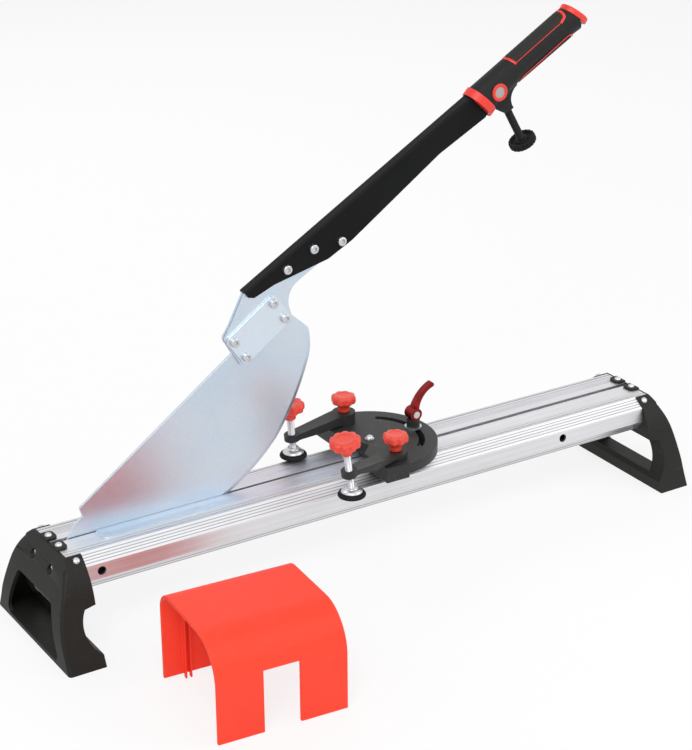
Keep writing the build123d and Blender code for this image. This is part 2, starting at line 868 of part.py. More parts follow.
with BuildPart() as blade:
    with BuildSketch(swing_plane.offset(-blade_half)):
        with BuildLine():
            Polyline(
                (heel_tip_x, heel_tip_y),
                (heel_notch_x / 2, heel_back_y * heel_crest_share),
                (heel_notch_x, heel_notch_y),
                (heel_back_x, heel_back_y),
                (spine_end_x, spine_end_y),
                (bracket_left_x + blade_inset, bracket_left_y - blade_inset),
                (bracket_step_x + blade_inset, bracket_step_y - blade_inset),
                (bracket_peak_x + blade_inset, bracket_top_y - blade_inset),
                (shoulder_x, bracket_top_y - blade_inset),
                (shoulder_x, shoulder_y),
                (nose_x, nose_y),
            )
            ThreePointArc((nose_x, nose_y), (nose_low_x, nose_low_y), (edge_nose_x, edge_nose_y))
            ThreePointArc((edge_nose_x, edge_nose_y), (edge_turn_x, edge_turn_y), (edge_mid_x, edge_mid_y))
            ThreePointArc((edge_mid_x, edge_mid_y), (edge_low_x, edge_low_y), (edge_near_x, edge_near_y))
            Line((edge_near_x, edge_near_y), (heel_chin_x, -heel_radius))
            Line((heel_chin_x, -heel_radius), (0, -heel_radius))
            ThreePointArc((0, -heel_radius), (-heel_radius, 0), (heel_tip_x, heel_tip_y))
        make_face()
        Circle(pivot_bolt_radius + fit_gap, mode=Mode.SUBTRACT)
        with Locations(*joint_bolt_points):
            Circle(m6_radius + fit_gap, mode=Mode.SUBTRACT)
    extrude(amount=blade_thickness)
    # Ground bevel on the operator's side of the curved edge
    front_face = faces().sort_by(Axis.Y)[0]
    front_arcs = front_face.edges().filter_by(GeomType.CIRCLE)
    chamfer(
        front_arcs.filter_by(lambda arc: arc.radius > 2 * heel_radius),
        length=bevel_width,
        length2=bevel_depth,
        reference=front_face,
    )


def bracket(offset):
    """One of the two cheeks that carry the blade in the arm, its near face at an offset across."""
    with BuildPart() as cheek:
        with BuildSketch(swing_plane.offset(offset)):
            with BuildLine():
                Polyline(
                    (bracket_left_x, bracket_bottom_y),
                    (bracket_left_x, bracket_left_y),
                    (bracket_step_x, bracket_step_y),
                    (bracket_peak_x, bracket_top_y),
                    (bracket_tail_x, bracket_top_y),
                    (bracket_tail_x, bracket_belly_y),
                    (bracket_throat_x, bracket_belly_y),
                )
                ThreePointArc(
                    (bracket_throat_x, bracket_belly_y),
                    (bracket_curve_x, bracket_curve_y),
                    (bracket_right_x, bracket_right_y),
                )
                Polyline(
                    (bracket_right_x, bracket_right_y),
                    (bracket_right_x - joint_plate_radius / 2, bracket_bottom_y),
                    (bracket_left_x, bracket_bottom_y),
                )
            make_face()
            fillet(vertices().sort_by(Axis.X)[:2].sort_by(Axis.Y)[-1], radius=joint_plate_radius)
            fillet(vertices().sort_by(Axis.X)[-2:].sort_by(Axis.Y)[0], radius=bracket_tail_radius)
            with Locations(*joint_bolt_points, *arm_bolt_points):
                Circle(m6_radius + fit_gap, mode=Mode.SUBTRACT)
        extrude(amount=bracket_thickness)
    return cheek


def joint_plate(offset):
    """One of the two doubling plates over the joint."""
    with BuildPart() as plate:
        with BuildSketch(swing_plane.offset(offset)):
            with Locations((joint_x, joint_y)):
                RectangleRounded(
                    joint_plate_length, joint_plate_width, joint_plate_radius, rotation=joint_turn
                )
            with Locations(*joint_bolt_points):
                Circle(m6_radius + fit_gap, mode=Mode.SUBTRACT)
        extrude(amount=joint_plate_thickness)
    return plate


bracket_face = blade_half + bracket_thickness
joint_face = bracket_face + joint_plate_thickness
bracket_front = bracket(blade_half)
bracket_rear = bracket(-bracket_face)
joint_plate_front = joint_plate(bracket_face)
joint_plate_rear = joint_plate(-joint_face)

save(blade, "blade")
save(bracket_front, "bracket_front")
save(bracket_rear, "bracket_rear")
save(joint_plate_front, "joint_plate_front")
save(joint_plate_rear, "joint_plate_rear")

# Bolts of the joint and of the arm
joint_bolt = socket_bolt(m6_head_radius, m6_head_height, m6_radius, 2 * joint_face + m6_nut_height)
arm_bolt = socket_bolt(m6_head_radius, m6_head_height, m6_radius, 2 * channel_half_width + m6_nut_height)
m6_nut = hex_nut(m6_head_radius, m6_nut_height, m6_radius + fit_gap)
spacer_thickness = channel_half_width - channel_sheet - bracket_face

with BuildPart() as joint_bolts:
    with Locations(*[swing_seat(point, -joint_face, -1) for point in joint_bolt_points]):
        add(joint_bolt)

with BuildPart() as joint_nuts:
    with Locations(*[swing_seat(point, joint_face, 1) for point in joint_bolt_points]):
        add(m6_nut)

with BuildPart() as arm_bolts:
    with Locations(*[swing_seat(point, -channel_half_width, -1) for point in arm_bolt_points]):
        add(arm_bolt)

with BuildPart() as arm_nuts:
    with Locations(*[swing_seat(point, channel_half_width, 1) for point in arm_bolt_points]):
        add(m6_nut)

with BuildPart() as arm_spacers:
    for side in (-1, 1):
        for point in arm_bolt_points:
            with BuildSketch(swing_seat(point, side * bracket_face, side)):
                Circle(spacer_radius)
                Circle(m6_radius + fit_gap, mode=Mode.SUBTRACT)
            extrude(amount=spacer_thickness)

save(joint_bolts, "joint_bolts")
save(joint_nuts, "joint_nuts")
save(arm_bolts, "arm_bolts")
save(arm_nuts, "arm_nuts")
save(arm_spacers, "arm_spacers")


# Arm: a folded channel, open below, that narrows into a tang inside the grip
def channel_side(sheet=0.0):
    """The channel seen from the side, drawn inside an open BuildLine, its top lowered by the sheet."""
    Polyline(
        (channel_start_x, channel_start_y - sheet),
        (channel_end_x, channel_start_y + channel_rise - sheet),
        (channel_end_x, tang_end_y),
        (tang_start_x, tang_start_y),
        (collar_throat_x, throat_end_y),
        (throat_x, throat_y),
        (belly_x, belly_y),
        (knee_x, knee_y),
        (toe_heel_x, toe_heel_y),
        (toe_x, toe_y),
        (channel_start_x, toe_front_y),
        close=True,
    )


with BuildPart() as arm_channel:
    with BuildSketch(swing_plane):
        with BuildLine():
            channel_side()
        make_face()
    extrude(amount=channel_half_width, both=True)
    with BuildSketch(swing_plane):
        with BuildLine():
            Polyline(
                (channel_start_x - overrun, channel_start_y - channel_sheet),
                (channel_end_x + overrun, channel_start_y + channel_rise - channel_sheet),
                (channel_end_x + overrun, 0),
                (channel_start_x - overrun, 0),
                close=True,
            )
        make_face()
    extrude(amount=channel_half_width - channel_sheet, both=True, mode=Mode.SUBTRACT)
    with BuildSketch(swing_plane):
        with Locations(*arm_bolt_points):
            Circle(m6_radius + fit_gap)
    extrude(amount=channel_half_width + overrun, both=True, mode=Mode.SUBTRACT)

save(arm_channel, "arm_channel")


# Grip: an oval moulding over the tang, with its red end rings, a lug for the stop and a plain badge
def grip_plane(along, up, lean=0.0):
    """Plane across the grip, its X along +Y and its Y up from the arm, leaned back by an angle."""
    tip = radians(lean)
    return Plane(
        origin=swing_point(along, up),
        x_dir=(0, 1, 0),
        z_dir=arm_direction * cos(tip) + arm_up * sin(tip),
    )


with BuildPart() as grip:
    with BuildSketch(grip_plane(grip_start_x, grip_start_y)):
        Ellipse(grip_start_breadth, grip_start_depth)
    with BuildSketch(grip_plane(grip_waist_x, grip_waist_y)):
        Ellipse(grip_waist_breadth, grip_waist_depth)
    with BuildSketch(grip_plane(grip_end_x, grip_end_y)):
        Ellipse(grip_end_breadth, grip_end_depth)
    loft()
    with BuildSketch(swing_plane):
        with BuildLine():
            lug_end = (lug_end_x, grip_waist_y - grip_waist_depth)
            lug_corner = (stop_x + lug_bottom_half_length, lug_bottom_y)
            Polyline(
                lug_end,
                (lug_end_x, lug_root_y),
                (lug_start_x, lug_root_y),
                (lug_start_x, grip_start_y - grip_start_depth),
                (stop_x - lug_bottom_half_length, lug_bottom_y),
                lug_corner,
            )
            ThreePointArc(lug_corner, (lug_waist_x, lug_waist_y), lug_end)
        make_face()
    extrude(amount=lug_half_width, both=True)
    # Ends cut on the lean of the collar and of the cap
    with BuildSketch(grip_plane(grip_start_x, grip_start_y, collar_lean)):
        Circle(2 * grip_start_depth)
    extrude(amount=-grip_start_depth, mode=Mode.SUBTRACT)
    with BuildSketch(grip_plane(grip_end_x, grip_end_y, cap_lean)):
        Circle(2 * grip_start_depth)
    extrude(amount=grip_start_depth, mode=Mode.SUBTRACT)
    # Socket for the tang
    with BuildSketch(swing_plane):
        with BuildLine():
            Polyline(
                (collar_throat_x - overrun, channel_start_y + channel_rise + fit_gap),
                (channel_end_x + fit_gap, channel_start_y + channel_rise + fit_gap),
                (channel_end_x + fit_gap, tang_end_y - fit_gap),
                (tang_start_x, tang_start_y - fit_gap),
                (collar_throat_x, throat_end_y - fit_gap),
                (collar_throat_x - overrun, throat_end_y - fit_gap),
                close=True,
            )
        make_face()
    extrude(amount=channel_half_width + fit_gap, both=True, mode=Mode.SUBTRACT)
    # Hole for the stop's post and seat of the badge
    with BuildSketch(Plane(origin=swing_point(stop_x, lug_bottom_y), x_dir=arm_direction, z_dir=arm_up)):
        Circle(stop_post_radius + fit_gap)
    extrude(amount=post_depth, mode=Mode.SUBTRACT)
    with BuildSketch(swing_plane.offset(grip_start_breadth - badge_sink)):
        with Locations((badge_x, badge_y)):
            Circle(badge_radius + fit_gap)
    extrude(amount=badge_sink + badge_thickness, mode=Mode.SUBTRACT)

with BuildPart() as grip_collar:
    with BuildSketch(grip_plane(grip_start_x, grip_start_y, collar_lean)):
        Ellipse(grip_start_breadth + collar_proud, grip_start_depth + collar_proud)
        Rectangle(
            2 * (channel_half_width + fit_gap), 2 * grip_start_depth - collar_proud, mode=Mode.SUBTRACT
        )
    extrude(amount=-collar_length)

with BuildPart() as grip_end_cap:
    with BuildSketch(grip_plane(grip_end_x, grip_end_y, cap_lean)):
        Ellipse(grip_end_breadth + cap_proud, grip_end_depth + cap_proud)
    extrude(amount=cap_length)
    fillet(edges().sort_by(Axis.X)[-1], radius=cap_edge_radius)

with BuildPart() as grip_badge:
    with BuildSketch(swing_plane.offset(grip_start_breadth - badge_sink)):
        with Locations((badge_x, badge_y)):
            Circle(badge_radius)
    extrude(amount=badge_thickness)
    with BuildSketch(swing_plane.offset(grip_start_breadth - badge_sink + badge_thickness)):
        with Locations((badge_x, badge_y)):
            Circle(badge_core_radius)
    extrude(amount=-badge_core_sink, mode=Mode.SUBTRACT)

stop_plane = Plane(origin=swing_point(stop_x, stop_bottom_y), x_dir=arm_direction, z_dir=arm_up)

with BuildPart() as stop_post:
    with BuildSketch(stop_plane.offset(fit_gap)):
        Circle(stop_post_radius)
    extrude(amount=lug_bottom_y - stop_bottom_y + post_depth - 2 * fit_gap)

with BuildPart() as stop_disc:
    with BuildSketch(stop_plane):
        Circle(stop_disc_radius)
        with PolarLocations(stop_disc_radius, stop_notch_count):
            Circle(stop_notch_radius, mode=Mode.SUBTRACT)
        Circle(stop_post_radius + fit_gap, mode=Mode.SUBTRACT)
    extrude(amount=stop_disc_thickness)
    with BuildSketch(stop_plane.offset(stop_disc_thickness)):
        Circle(stop_dish_radius)
        Circle(stop_hub_radius, mode=Mode.SUBTRACT)
    extrude(amount=-stop_dish_depth, mode=Mode.SUBTRACT)

save(grip, "grip")
save(grip_collar, "grip_collar")
save(grip_end_cap, "grip_end_cap")
save(grip_badge, "grip_badge")
save(stop_post, "stop_post")
save(stop_disc, "stop_disc")

# Angle gauge: a disc with a fence, a notch for the blade and an arc slot for the locking lever
slot_screw_radius = slot_half - fit_gap
slot_path = CenterArc((gauge_x, 0), arc_slot_radius, -arc_slot_half_angle, 2 * arc_slot_half_angle)

with BuildPart() as gauge_plate:
    with BuildSketch(Plane.XY.offset(gauge_disc_underside)):
        with Locations((gauge_x, 0)):
            Circle(gauge_radius)
    extrude(amount=gauge_top - gauge_disc_underside)
    with BuildSketch(Plane.XY.offset(gauge_underside)):
        with Locations((gauge_x, 0)):
            Circle(gauge_radius - gauge_bearing_setback)
            Rectangle(2 * gauge_radius, 2 * gauge_bearing_half_width, mode=Mode.INTERSECT)
    extrude(amount=gauge_disc_underside - gauge_underside)
    with BuildSketch(Plane.XY.offset(gauge_underside)):
        with Locations((gauge_x + (fence_back - fence_setback) / 2, 0)):
            Rectangle(fence_back + fence_setback, 2 * fence_half_length)
    extrude(amount=gauge_top - gauge_underside)
    with BuildSketch(Plane.XY.offset(gauge_underside)):
        with Locations((gauge_x - fence_setback - gauge_radius, 0)):
            Rectangle(2 * gauge_radius, 2 * gauge_radius)
    extrude(amount=gauge_top, mode=Mode.SUBTRACT)
    with BuildSketch(Plane.XY.offset(gauge_underside)):
        with BuildLine():
            Polyline(
                (gauge_x - notch_mouth_x, notch_mouth_half_width),
                (gauge_x - notch_root_x, notch_root_half_width),
                (gauge_x - notch_root_x, -notch_root_half_width),
                (gauge_x - notch_mouth_x, -notch_mouth_half_width),
                close=True,
            )
        make_face()
        with Locations((gauge_x, 0)):
            Circle(gauge_boss_radius, mode=Mode.SUBTRACT)
    extrude(amount=gauge_top, mode=Mode.SUBTRACT)
    with BuildSketch(Plane.XY.offset(gauge_underside)):
        SlotArc(slot_path, arc_slot_width)
        with Locations((gauge_x, 0)):
            Circle(slot_screw_radius + fit_gap)
        with Locations((gauge_x, front_lock_y), (gauge_x, rear_lock_y)):
            Circle(lock_stud_radius + fit_gap)
    extrude(amount=gauge_top, mode=Mode.SUBTRACT)
    with BuildSketch(Plane.XY.offset(gauge_underside)):
        with Locations((gauge_x, front_lock_y), (gauge_x, rear_lock_y)):
            RegularPolygon(m6_head_radius + fit_gap, 6, major_radius=False)
    extrude(amount=gauge_disc_underside - gauge_underside, mode=Mode.SUBTRACT)

with BuildPart() as arm_lock_nuts:
    with Locations((gauge_x, front_lock_y, gauge_underside), (gauge_x, rear_lock_y, gauge_underside)):
        add(hex_nut(m6_head_radius, gauge_disc_underside - gauge_underside, lock_stud_radius + fit_gap))

save(gauge_plate, "gauge_plate")
save(arm_lock_nuts, "arm_lock_nuts")

# What holds the gauge on the bench: nuts in the T channel, the pivot screw and its washer
slot_nut_underside = bed_height - lip_thickness - slot_nut_height
washer_top = gauge_top + fit_gap + gauge_washer_thickness


def slot_nut(x):
    """A plain nut bar in the T channel under the slot."""
    with BuildPart() as bar:
        with BuildSketch(Plane.XY.offset(slot_nut_underside)):
            with Locations((x, 0)):
                Rectangle(slot_nut_length, 2 * (nut_channel_half_width - seat_gap))
                Circle(slot_screw_radius + fit_gap, mode=Mode.SUBTRACT)
        extrude(amount=slot_nut_height)
    return bar


gauge_slot_nut = slot_nut(gauge_x)
lock_slot_nut = slot_nut(lever_x)

with BuildPart() as gauge_pivot_screw:
    with Locations((gauge_x, 0, washer_top)):
        add(
            pan_screw(
                gauge_screw_head_radius,
                gauge_screw_head_height,
                slot_screw_radius,
                washer_top - slot_nut_underside,
            )
        )

with BuildPart() as gauge_washer:
    with BuildSketch(Plane.XY.offset(gauge_top + fit_gap)):
        with Locations((gauge_x, 0)):
            Circle(gauge_washer_radius)
            Circle(slot_screw_radius + fit_gap, mode=Mode.SUBTRACT)
    extrude(amount=gauge_washer_thickness)

save(gauge_slot_nut, "gauge_slot_nut")
save(lock_slot_nut, "lock_slot_nut")
save(gauge_pivot_screw, "gauge_pivot_screw")
save(gauge_washer, "gauge_washer")


# Clamps: an arm on the gauge, its lock knob, and a leaning screw with a pad that lies level
def upright(place):
    """Plane on the ground at a place seen from above."""
    return Plane(origin=(place[0], place[1], 0))


def leaning(place, heading, lean):
    """Plane across a clamp's screw where it meets the pad, its normal leaning outwards along the arm."""
    angle, tip = radians(heading), radians(lean)
    return Plane(
        origin=(place[0], place[1], pad_seat),
        x_dir=(cos(angle) * cos(tip), sin(angle) * cos(tip), -sin(tip)),
        z_dir=(cos(angle) * sin(tip), sin(angle) * sin(tip), cos(tip)),
    )


def along_screw(height, lean):
    """Distance along a leaning screw at which it reaches a height."""
    return (height - pad_seat) / cos(radians(lean))


def pad_place(lock_y, heading):
    """Centre of a clamp's pad, seen from above."""
    angle = radians(heading)
    return (gauge_x + clamp_arm_length * cos(angle), lock_y + clamp_arm_length * sin(angle))


def clamp_arm(lock_y, heading, lean, boss_height, ring_underside):
    """An arm that rises or falls from its boss on the gauge to the ring of the clamp screw."""
    angle = radians(heading)
    boss_underside = gauge_top + seat_gap
    boss_top = boss_underside + boss_height
    # The leaning screw passes the ring further out than the pad
    reach = clamp_arm_length + (ring_underside - pad_seat) * tan(radians(lean))
    side_plane = Plane(
        origin=(gauge_x, lock_y, 0), x_dir=(cos(angle), sin(angle), 0), z_dir=(sin(angle), -cos(angle), 0)
    )
    screw_plane = leaning(pad_place(lock_y, heading), heading, lean)
    with BuildPart() as arm:
        with BuildSketch(Plane.XY.offset(gauge_top)):
            with Locations((gauge_x, lock_y)):
                Circle(arm_boss_radius * arm_waist_share)
            with Locations((gauge_x + reach * cos(angle), lock_y + reach * sin(angle))):
                Circle(arm_ring_radius * arm_waist_share)
            make_hull()
        extrude(amount=ring_underside)
        with BuildSketch(side_plane):
            with BuildLine():
                Polyline(
                    (0, gauge_top + arm_clearance),
                    (reach * arm_bend_share, gauge_top + arm_clearance),
                    (reach - arm_ring_radius, ring_underside),
                    (reach, ring_underside),
                    (reach, ring_underside + arm_ring_thickness),
                    (arm_boss_radius, boss_top),
                    (0, boss_top),
                    close=True,
                )
            make_face()
        extrude(amount=arm_boss_radius, both=True, mode=Mode.INTERSECT)
        with BuildSketch(Plane.XY.offset(boss_underside)):
            with Locations((gauge_x, lock_y)):
                Circle(arm_boss_radius)
        extrude(amount=boss_height)
        with BuildSketch(screw_plane.offset(along_screw(ring_underside, lean))):
            Circle(arm_ring_radius)
        extrude(amount=arm_ring_thickness)
        with BuildSketch(screw_plane):
            Circle(clamp_screw_radius + fit_gap)
        extrude(amount=ring_underside, mode=Mode.SUBTRACT)
        with BuildSketch(Plane.XY.offset(gauge_top)):
            with Locations((gauge_x, lock_y)):
                Circle(lock_stud_radius + fit_gap)
        extrude(amount=ring_underside, mode=Mode.SUBTRACT)
    return arm


def lobed_knob(seat, radius, height, lobes, scallop_radius, bore_radius):
    """A round knob with scallops between its lobes, on a stem; the seat is under its head."""
    with BuildPart() as knob:
        with BuildSketch(seat):
            Circle(radius)
        extrude(amount=height)
        fillet(edges().filter_by(GeomType.CIRCLE), radius=knob_edge_radius)
        with BuildSketch(seat):
            with PolarLocations(radius + scallop_radius - scallop_depth, lobes):
                Circle(scallop_radius)
        extrude(amount=height, mode=Mode.SUBTRACT)
        with BuildSketch(seat.offset(-knob_stem_length)):
            Circle(knob_stem_radius)
        extrude(amount=knob_stem_length)
        with BuildSketch(seat.offset(-knob_stem_length)):
            Circle(bore_radius + fit_gap)
        extrude(amount=knob_stem_length + height - knob_crown, mode=Mode.SUBTRACT)
    return knob


def round_bar(ground, bottom, top, radius):
    """A plain bar along the normal of a plane, between two distances from it."""
    with BuildPart() as bar:
        with BuildSketch(ground.offset(bottom)):
            Circle(radius)
        extrude(amount=top - bottom)
    return bar


def pad_rubber(place):
    """The soft foot of a clamp."""
    with BuildPart() as rubber:
        with BuildSketch(Plane.XY.offset(pad_underside)):
            with Locations(place):
                Circle(pad_rubber_radius)
        extrude(amount=pad_rubber_height)
        fillet(edges().filter_by(GeomType.CIRCLE), radius=pad_rubber_round)
    return rubber


def pad_cup(place, screw_plane):
    """The domed metal cup on the rubber, with the socket for the screw's end."""
    with BuildPart() as cup:
        with BuildSketch(Plane(origin=(place[0], place[1], pad_seat), x_dir=(1, 0, 0), z_dir=(0, -1, 0))):
            with BuildLine():
                Polyline(
                    (pad_neck_radius, pad_cup_height),
                    (pad_neck_radius, pad_cup_height + pad_neck_height),
                    (0, pad_cup_height + pad_neck_height),
                    (0, 0),
                    (pad_cup_radius, 0),
                    (pad_cup_radius, pad_cup_height * cup_rim_share),
                )
                ThreePointArc(
                    (pad_cup_radius, pad_cup_height * cup_rim_share),
                    (pad_cup_radius * cup_shoulder_share, pad_cup_height * cup_shoulder_share),
                    (pad_neck_radius, pad_cup_height),
                )
            make_face()
        revolve(axis=Axis((place[0], place[1], 0), (0, 0, 1)))
        with BuildSketch(screw_plane.offset(pad_socket_floor)):
            Circle(clamp_screw_radius + fit_gap)
        extrude(amount=2 * pad_cup_height, mode=Mode.SUBTRACT)
    return cup


for side, lock_y, heading, lean, boss_height, ring_underside, knob_underside in (
    (
        "front", front_lock_y, front_arm_heading, front_screw_lean,
        front_boss_height, front_ring_underside, front_knob_underside,
    ),
    (
        "rear", rear_lock_y, rear_arm_heading, rear_screw_lean,
        rear_boss_height, rear_ring_underside, rear_knob_underside,
    ),
):
    lock_ground = upright((gauge_x, lock_y))
    pad = pad_place(lock_y, heading)
    screw_plane = leaning(pad, heading, lean)
    boss_top = gauge_top + seat_gap + boss_height
    lock_knob_underside = boss_top + fit_gap + knob_stem_length
    lock_stud_top = lock_knob_underside + lock_knob_height - knob_crown - fit_gap
    clamp_knob_reach = along_screw(knob_underside, lean)
    clamp_screw_top = clamp_knob_reach + clamp_knob_height - knob_crown - fit_gap
    save(clamp_arm(lock_y, heading, lean, boss_height, ring_underside), f"{side}_clamp_arm")
    save(
        lobed_knob(
            lock_ground.offset(lock_knob_underside), lock_knob_radius, lock_knob_height,
            lock_knob_lobes, lock_scallop_radius, lock_stud_radius,
        ),
        f"{side}_lock_knob",
    )
    save(round_bar(lock_ground, gauge_underside, lock_stud_top, lock_stud_radius), f"{side}_lock_stud")
    save(pad_rubber(pad), f"{side}_pad_rubber")
    save(pad_cup(pad, screw_plane), f"{side}_pad_cup")
    save(
        round_bar(screw_plane, pad_socket_floor + fit_gap, clamp_screw_top, clamp_screw_radius),
        f"{side}_clamp_screw",
    )
    save(
        lobed_knob(
            screw_plane.offset(clamp_knob_reach), clamp_knob_radius, clamp_knob_height,
            clamp_knob_lobes, clamp_scallop_radius, clamp_screw_radius,
        ),
        f"{side}_clamp_knob",
    )

# Cam lever that locks the gauge: a stud through the arc slot, washer, saddle, cross pin and lever
barrel_plane = Plane(origin=(lever_x, 0, barrel_height), x_dir=(1, 0, 0), z_dir=(0, -1, 0))
washer_underside = gauge_top + fit_gap
saddle_underside = washer_underside + lever_washer_thickness

with BuildPart() as lock_stud:
    with BuildSketch(Plane.XY.offset(slot_nut_underside)):
        with Locations((lever_x, 0)):
            Circle(slot_screw_radius)
    extrude(amount=barrel_height + barrel_radius - slot_nut_underside)

with BuildPart() as lock_washer:
    with BuildSketch(Plane.XY.offset(washer_underside)):
        with Locations((lever_x, 0)):
            Circle(lever_washer_radius)
            Circle(slot_half, mode=Mode.SUBTRACT)
    extrude(amount=lever_washer_thickness)

with BuildPart() as lock_saddle:
    with BuildSketch(Plane.XY.offset(saddle_underside)):
        with Locations((lever_x, 0)):
            Circle(saddle_radius)
            Circle(slot_half, mode=Mode.SUBTRACT)
    extrude(amount=barrel_height - saddle_drop - saddle_underside)
    with BuildSketch(barrel_plane):
        Circle(cam_radius + fit_gap)
    extrude(amount=saddle_radius + overrun, both=True, mode=Mode.SUBTRACT)

with BuildPart() as lock_barrel:
    with BuildSketch(barrel_plane):
        Circle(barrel_radius)
    extrude(amount=barrel_half_length, both=True)
    with BuildSketch(Plane.XY.offset(barrel_height - 2 * barrel_radius)):
        with Locations((lever_x, 0)):
            Circle(slot_half)
    extrude(amount=4 * barrel_radius, mode=Mode.SUBTRACT)

with BuildPart() as lock_lever:
    with BuildSketch(barrel_plane):
        with BuildLine():
            ThreePointArc(
                (-lever_root_thickness / 2, barrel_radius),
                (
                    lever_mid_x - lever_root_thickness * lever_middle_share,
                    lever_mid_z + lever_tip_thickness * lever_middle_share,
                ),
                (lever_tip_x - lever_tip_thickness / 3, lever_tip_z + lever_tip_thickness / 2),
            )
            Line(
                (lever_tip_x - lever_tip_thickness / 3, lever_tip_z + lever_tip_thickness / 2),
                (lever_tip_x + lever_tip_thickness / 3, lever_tip_z - lever_tip_thickness / 2),
            )
            ThreePointArc(
                (lever_tip_x + lever_tip_thickness / 3, lever_tip_z - lever_tip_thickness / 2),
                (
                    lever_mid_x + lever_root_thickness * lever_middle_share,
                    lever_mid_z - lever_tip_thickness * lever_middle_share,
                ),
                (lever_root_thickness * lever_heel_share, 0),
            )
            Line((lever_root_thickness * lever_heel_share, 0), (-lever_root_thickness / 2, barrel_radius))
        make_face()
        fillet(vertices().sort_by(Axis.Y)[-2:], radius=lever_tip_radius)
    extrude(amount=lever_half_width, both=True)
    with BuildSketch(barrel_plane):
        Circle(cam_radius)
    extrude(amount=lever_fork_half_width, both=True)
    with BuildSketch(barrel_plane):
        Circle(lever_eye_radius)
        Rectangle(
            2 * cam_radius, 4 * cam_radius, rotation=lever_slot_turn, align=(Align.MIN, Align.CENTER)
        )
    extrude(amount=lever_slot_half_width, both=True, mode=Mode.SUBTRACT)
    with BuildSketch(barrel_plane):
        Circle(barrel_radius + fit_gap)
    extrude(amount=lever_fork_half_width, both=True, mode=Mode.SUBTRACT)

save(lock_stud, "lock_stud")
save(lock_washer, "lock_washer")
save(lock_saddle, "lock_saddle")
save(lock_barrel, "lock_barrel")
save(lock_lever, "lock_lever")

# Panel support: a bent plastic stand beside the bench, with a notch in front and ribs inside its back
support_angle = radians(support_turn)
support_along = Vector(cos(support_angle), sin(support_angle), 0)
support_across = Vector(-sin(support_angle), cos(support_angle), 0)
support_corner = Vector(support_x, support_y, 0)
support_profile = Plane(origin=support_corner, x_dir=support_across, z_dir=support_along)

with BuildPart() as panel_support:
    with BuildSketch(support_profile):
        with Locations((support_depth / 2, bed_height / 2)):
            Rectangle(support_depth, bed_height)
        top = vertices().group_by(Axis.Y)[-1].sort_by(Axis.X)
        fillet(top[0], radius=support_front_radius)
        fillet(vertices().group_by(Axis.Y)[-1].sort_by(Axis.X)[-1], radius=support_rear_radius)
    extrude(amount=support_length)
    with BuildSketch(support_profile):
        with Locations((support_depth / 2, (bed_height - support_sheet) / 2)):
            Rectangle(support_depth - 2 * support_sheet, bed_height - support_sheet)
        top = vertices().group_by(Axis.Y)[-1].sort_by(Axis.X)
        fillet(top[0], radius=support_front_radius - support_sheet)
        fillet(
            vertices().group_by(Axis.Y)[-1].sort_by(Axis.X)[-1], radius=support_rear_radius - support_sheet
        )
    extrude(amount=support_length, mode=Mode.SUBTRACT)
    with BuildSketch(Plane(origin=support_corner, x_dir=support_along, z_dir=-support_across)):
        with Locations((support_leg_width + support_notch_width / 2, support_notch_height / 2)):
            Rectangle(support_notch_width, support_notch_height)
    extrude(amount=support_front_radius, both=True, mode=Mode.SUBTRACT)
    with BuildSketch(support_profile):
        with Locations((support_depth - support_sheet, 0)):
            Rectangle(
                2 * support_sheet, support_rear_gap, align=(Align.MIN, Align.MIN)
            )
    extrude(amount=support_length, mode=Mode.SUBTRACT)
    rib_places = [
        support_rib_inset,
        support_rib_inset + support_rib_pitch,
        support_length - support_rib_inset - support_rib_pitch,
        support_length - support_rib_inset,
    ]
    for place in rib_places:
        with BuildSketch(support_profile.offset(place - support_rib_thickness / 2)):
            with Locations((support_depth - support_sheet - support_rib_depth / 2, support_rib_height / 2)):
                Rectangle(support_rib_depth, support_rib_height)
        extrude(amount=support_rib_thickness)

save(panel_support, "panel_support")
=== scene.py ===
"""Looks of a lever guillotine for flooring panels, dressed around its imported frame.

Every length is in metres, in the frame of the CAD model. Sizes named with _mm are in millimetres.
"""

import json
import logging
import math
from dataclasses import dataclass
from enum import Enum
from typing import Callable

import bmesh
import bpy
import numpy as np
from mathutils import Matrix, Vector

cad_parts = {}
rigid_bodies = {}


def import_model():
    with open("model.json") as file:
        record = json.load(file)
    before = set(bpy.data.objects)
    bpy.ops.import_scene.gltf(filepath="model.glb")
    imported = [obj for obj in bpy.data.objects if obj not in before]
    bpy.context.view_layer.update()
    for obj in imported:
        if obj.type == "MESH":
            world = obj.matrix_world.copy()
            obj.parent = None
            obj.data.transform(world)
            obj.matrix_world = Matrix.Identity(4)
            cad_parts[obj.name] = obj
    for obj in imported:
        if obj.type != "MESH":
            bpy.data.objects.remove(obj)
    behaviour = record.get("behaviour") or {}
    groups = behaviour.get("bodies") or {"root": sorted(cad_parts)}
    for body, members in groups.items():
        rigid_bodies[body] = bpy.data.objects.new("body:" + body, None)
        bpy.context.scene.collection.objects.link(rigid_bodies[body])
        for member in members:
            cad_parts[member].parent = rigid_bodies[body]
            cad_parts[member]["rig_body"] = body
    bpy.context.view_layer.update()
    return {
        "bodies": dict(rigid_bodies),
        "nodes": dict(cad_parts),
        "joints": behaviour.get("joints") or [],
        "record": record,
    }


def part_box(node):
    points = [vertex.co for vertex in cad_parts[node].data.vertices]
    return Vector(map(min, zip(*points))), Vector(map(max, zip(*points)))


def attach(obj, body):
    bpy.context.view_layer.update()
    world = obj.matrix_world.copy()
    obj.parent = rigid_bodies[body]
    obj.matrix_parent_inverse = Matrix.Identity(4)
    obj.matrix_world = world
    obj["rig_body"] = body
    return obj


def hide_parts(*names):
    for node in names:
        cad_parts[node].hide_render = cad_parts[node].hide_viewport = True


log = logging.getLogger("guillotine")

MM = 0.001
FULL_TURN = 2 * math.pi
MERGE_DISTANCE = 2e-6
TINY = 1e-9
FLAT_DEGREES = 0.4
SHARP_DEGREES = 32.0
THREAD_SHARP_DEGREES = 70.0

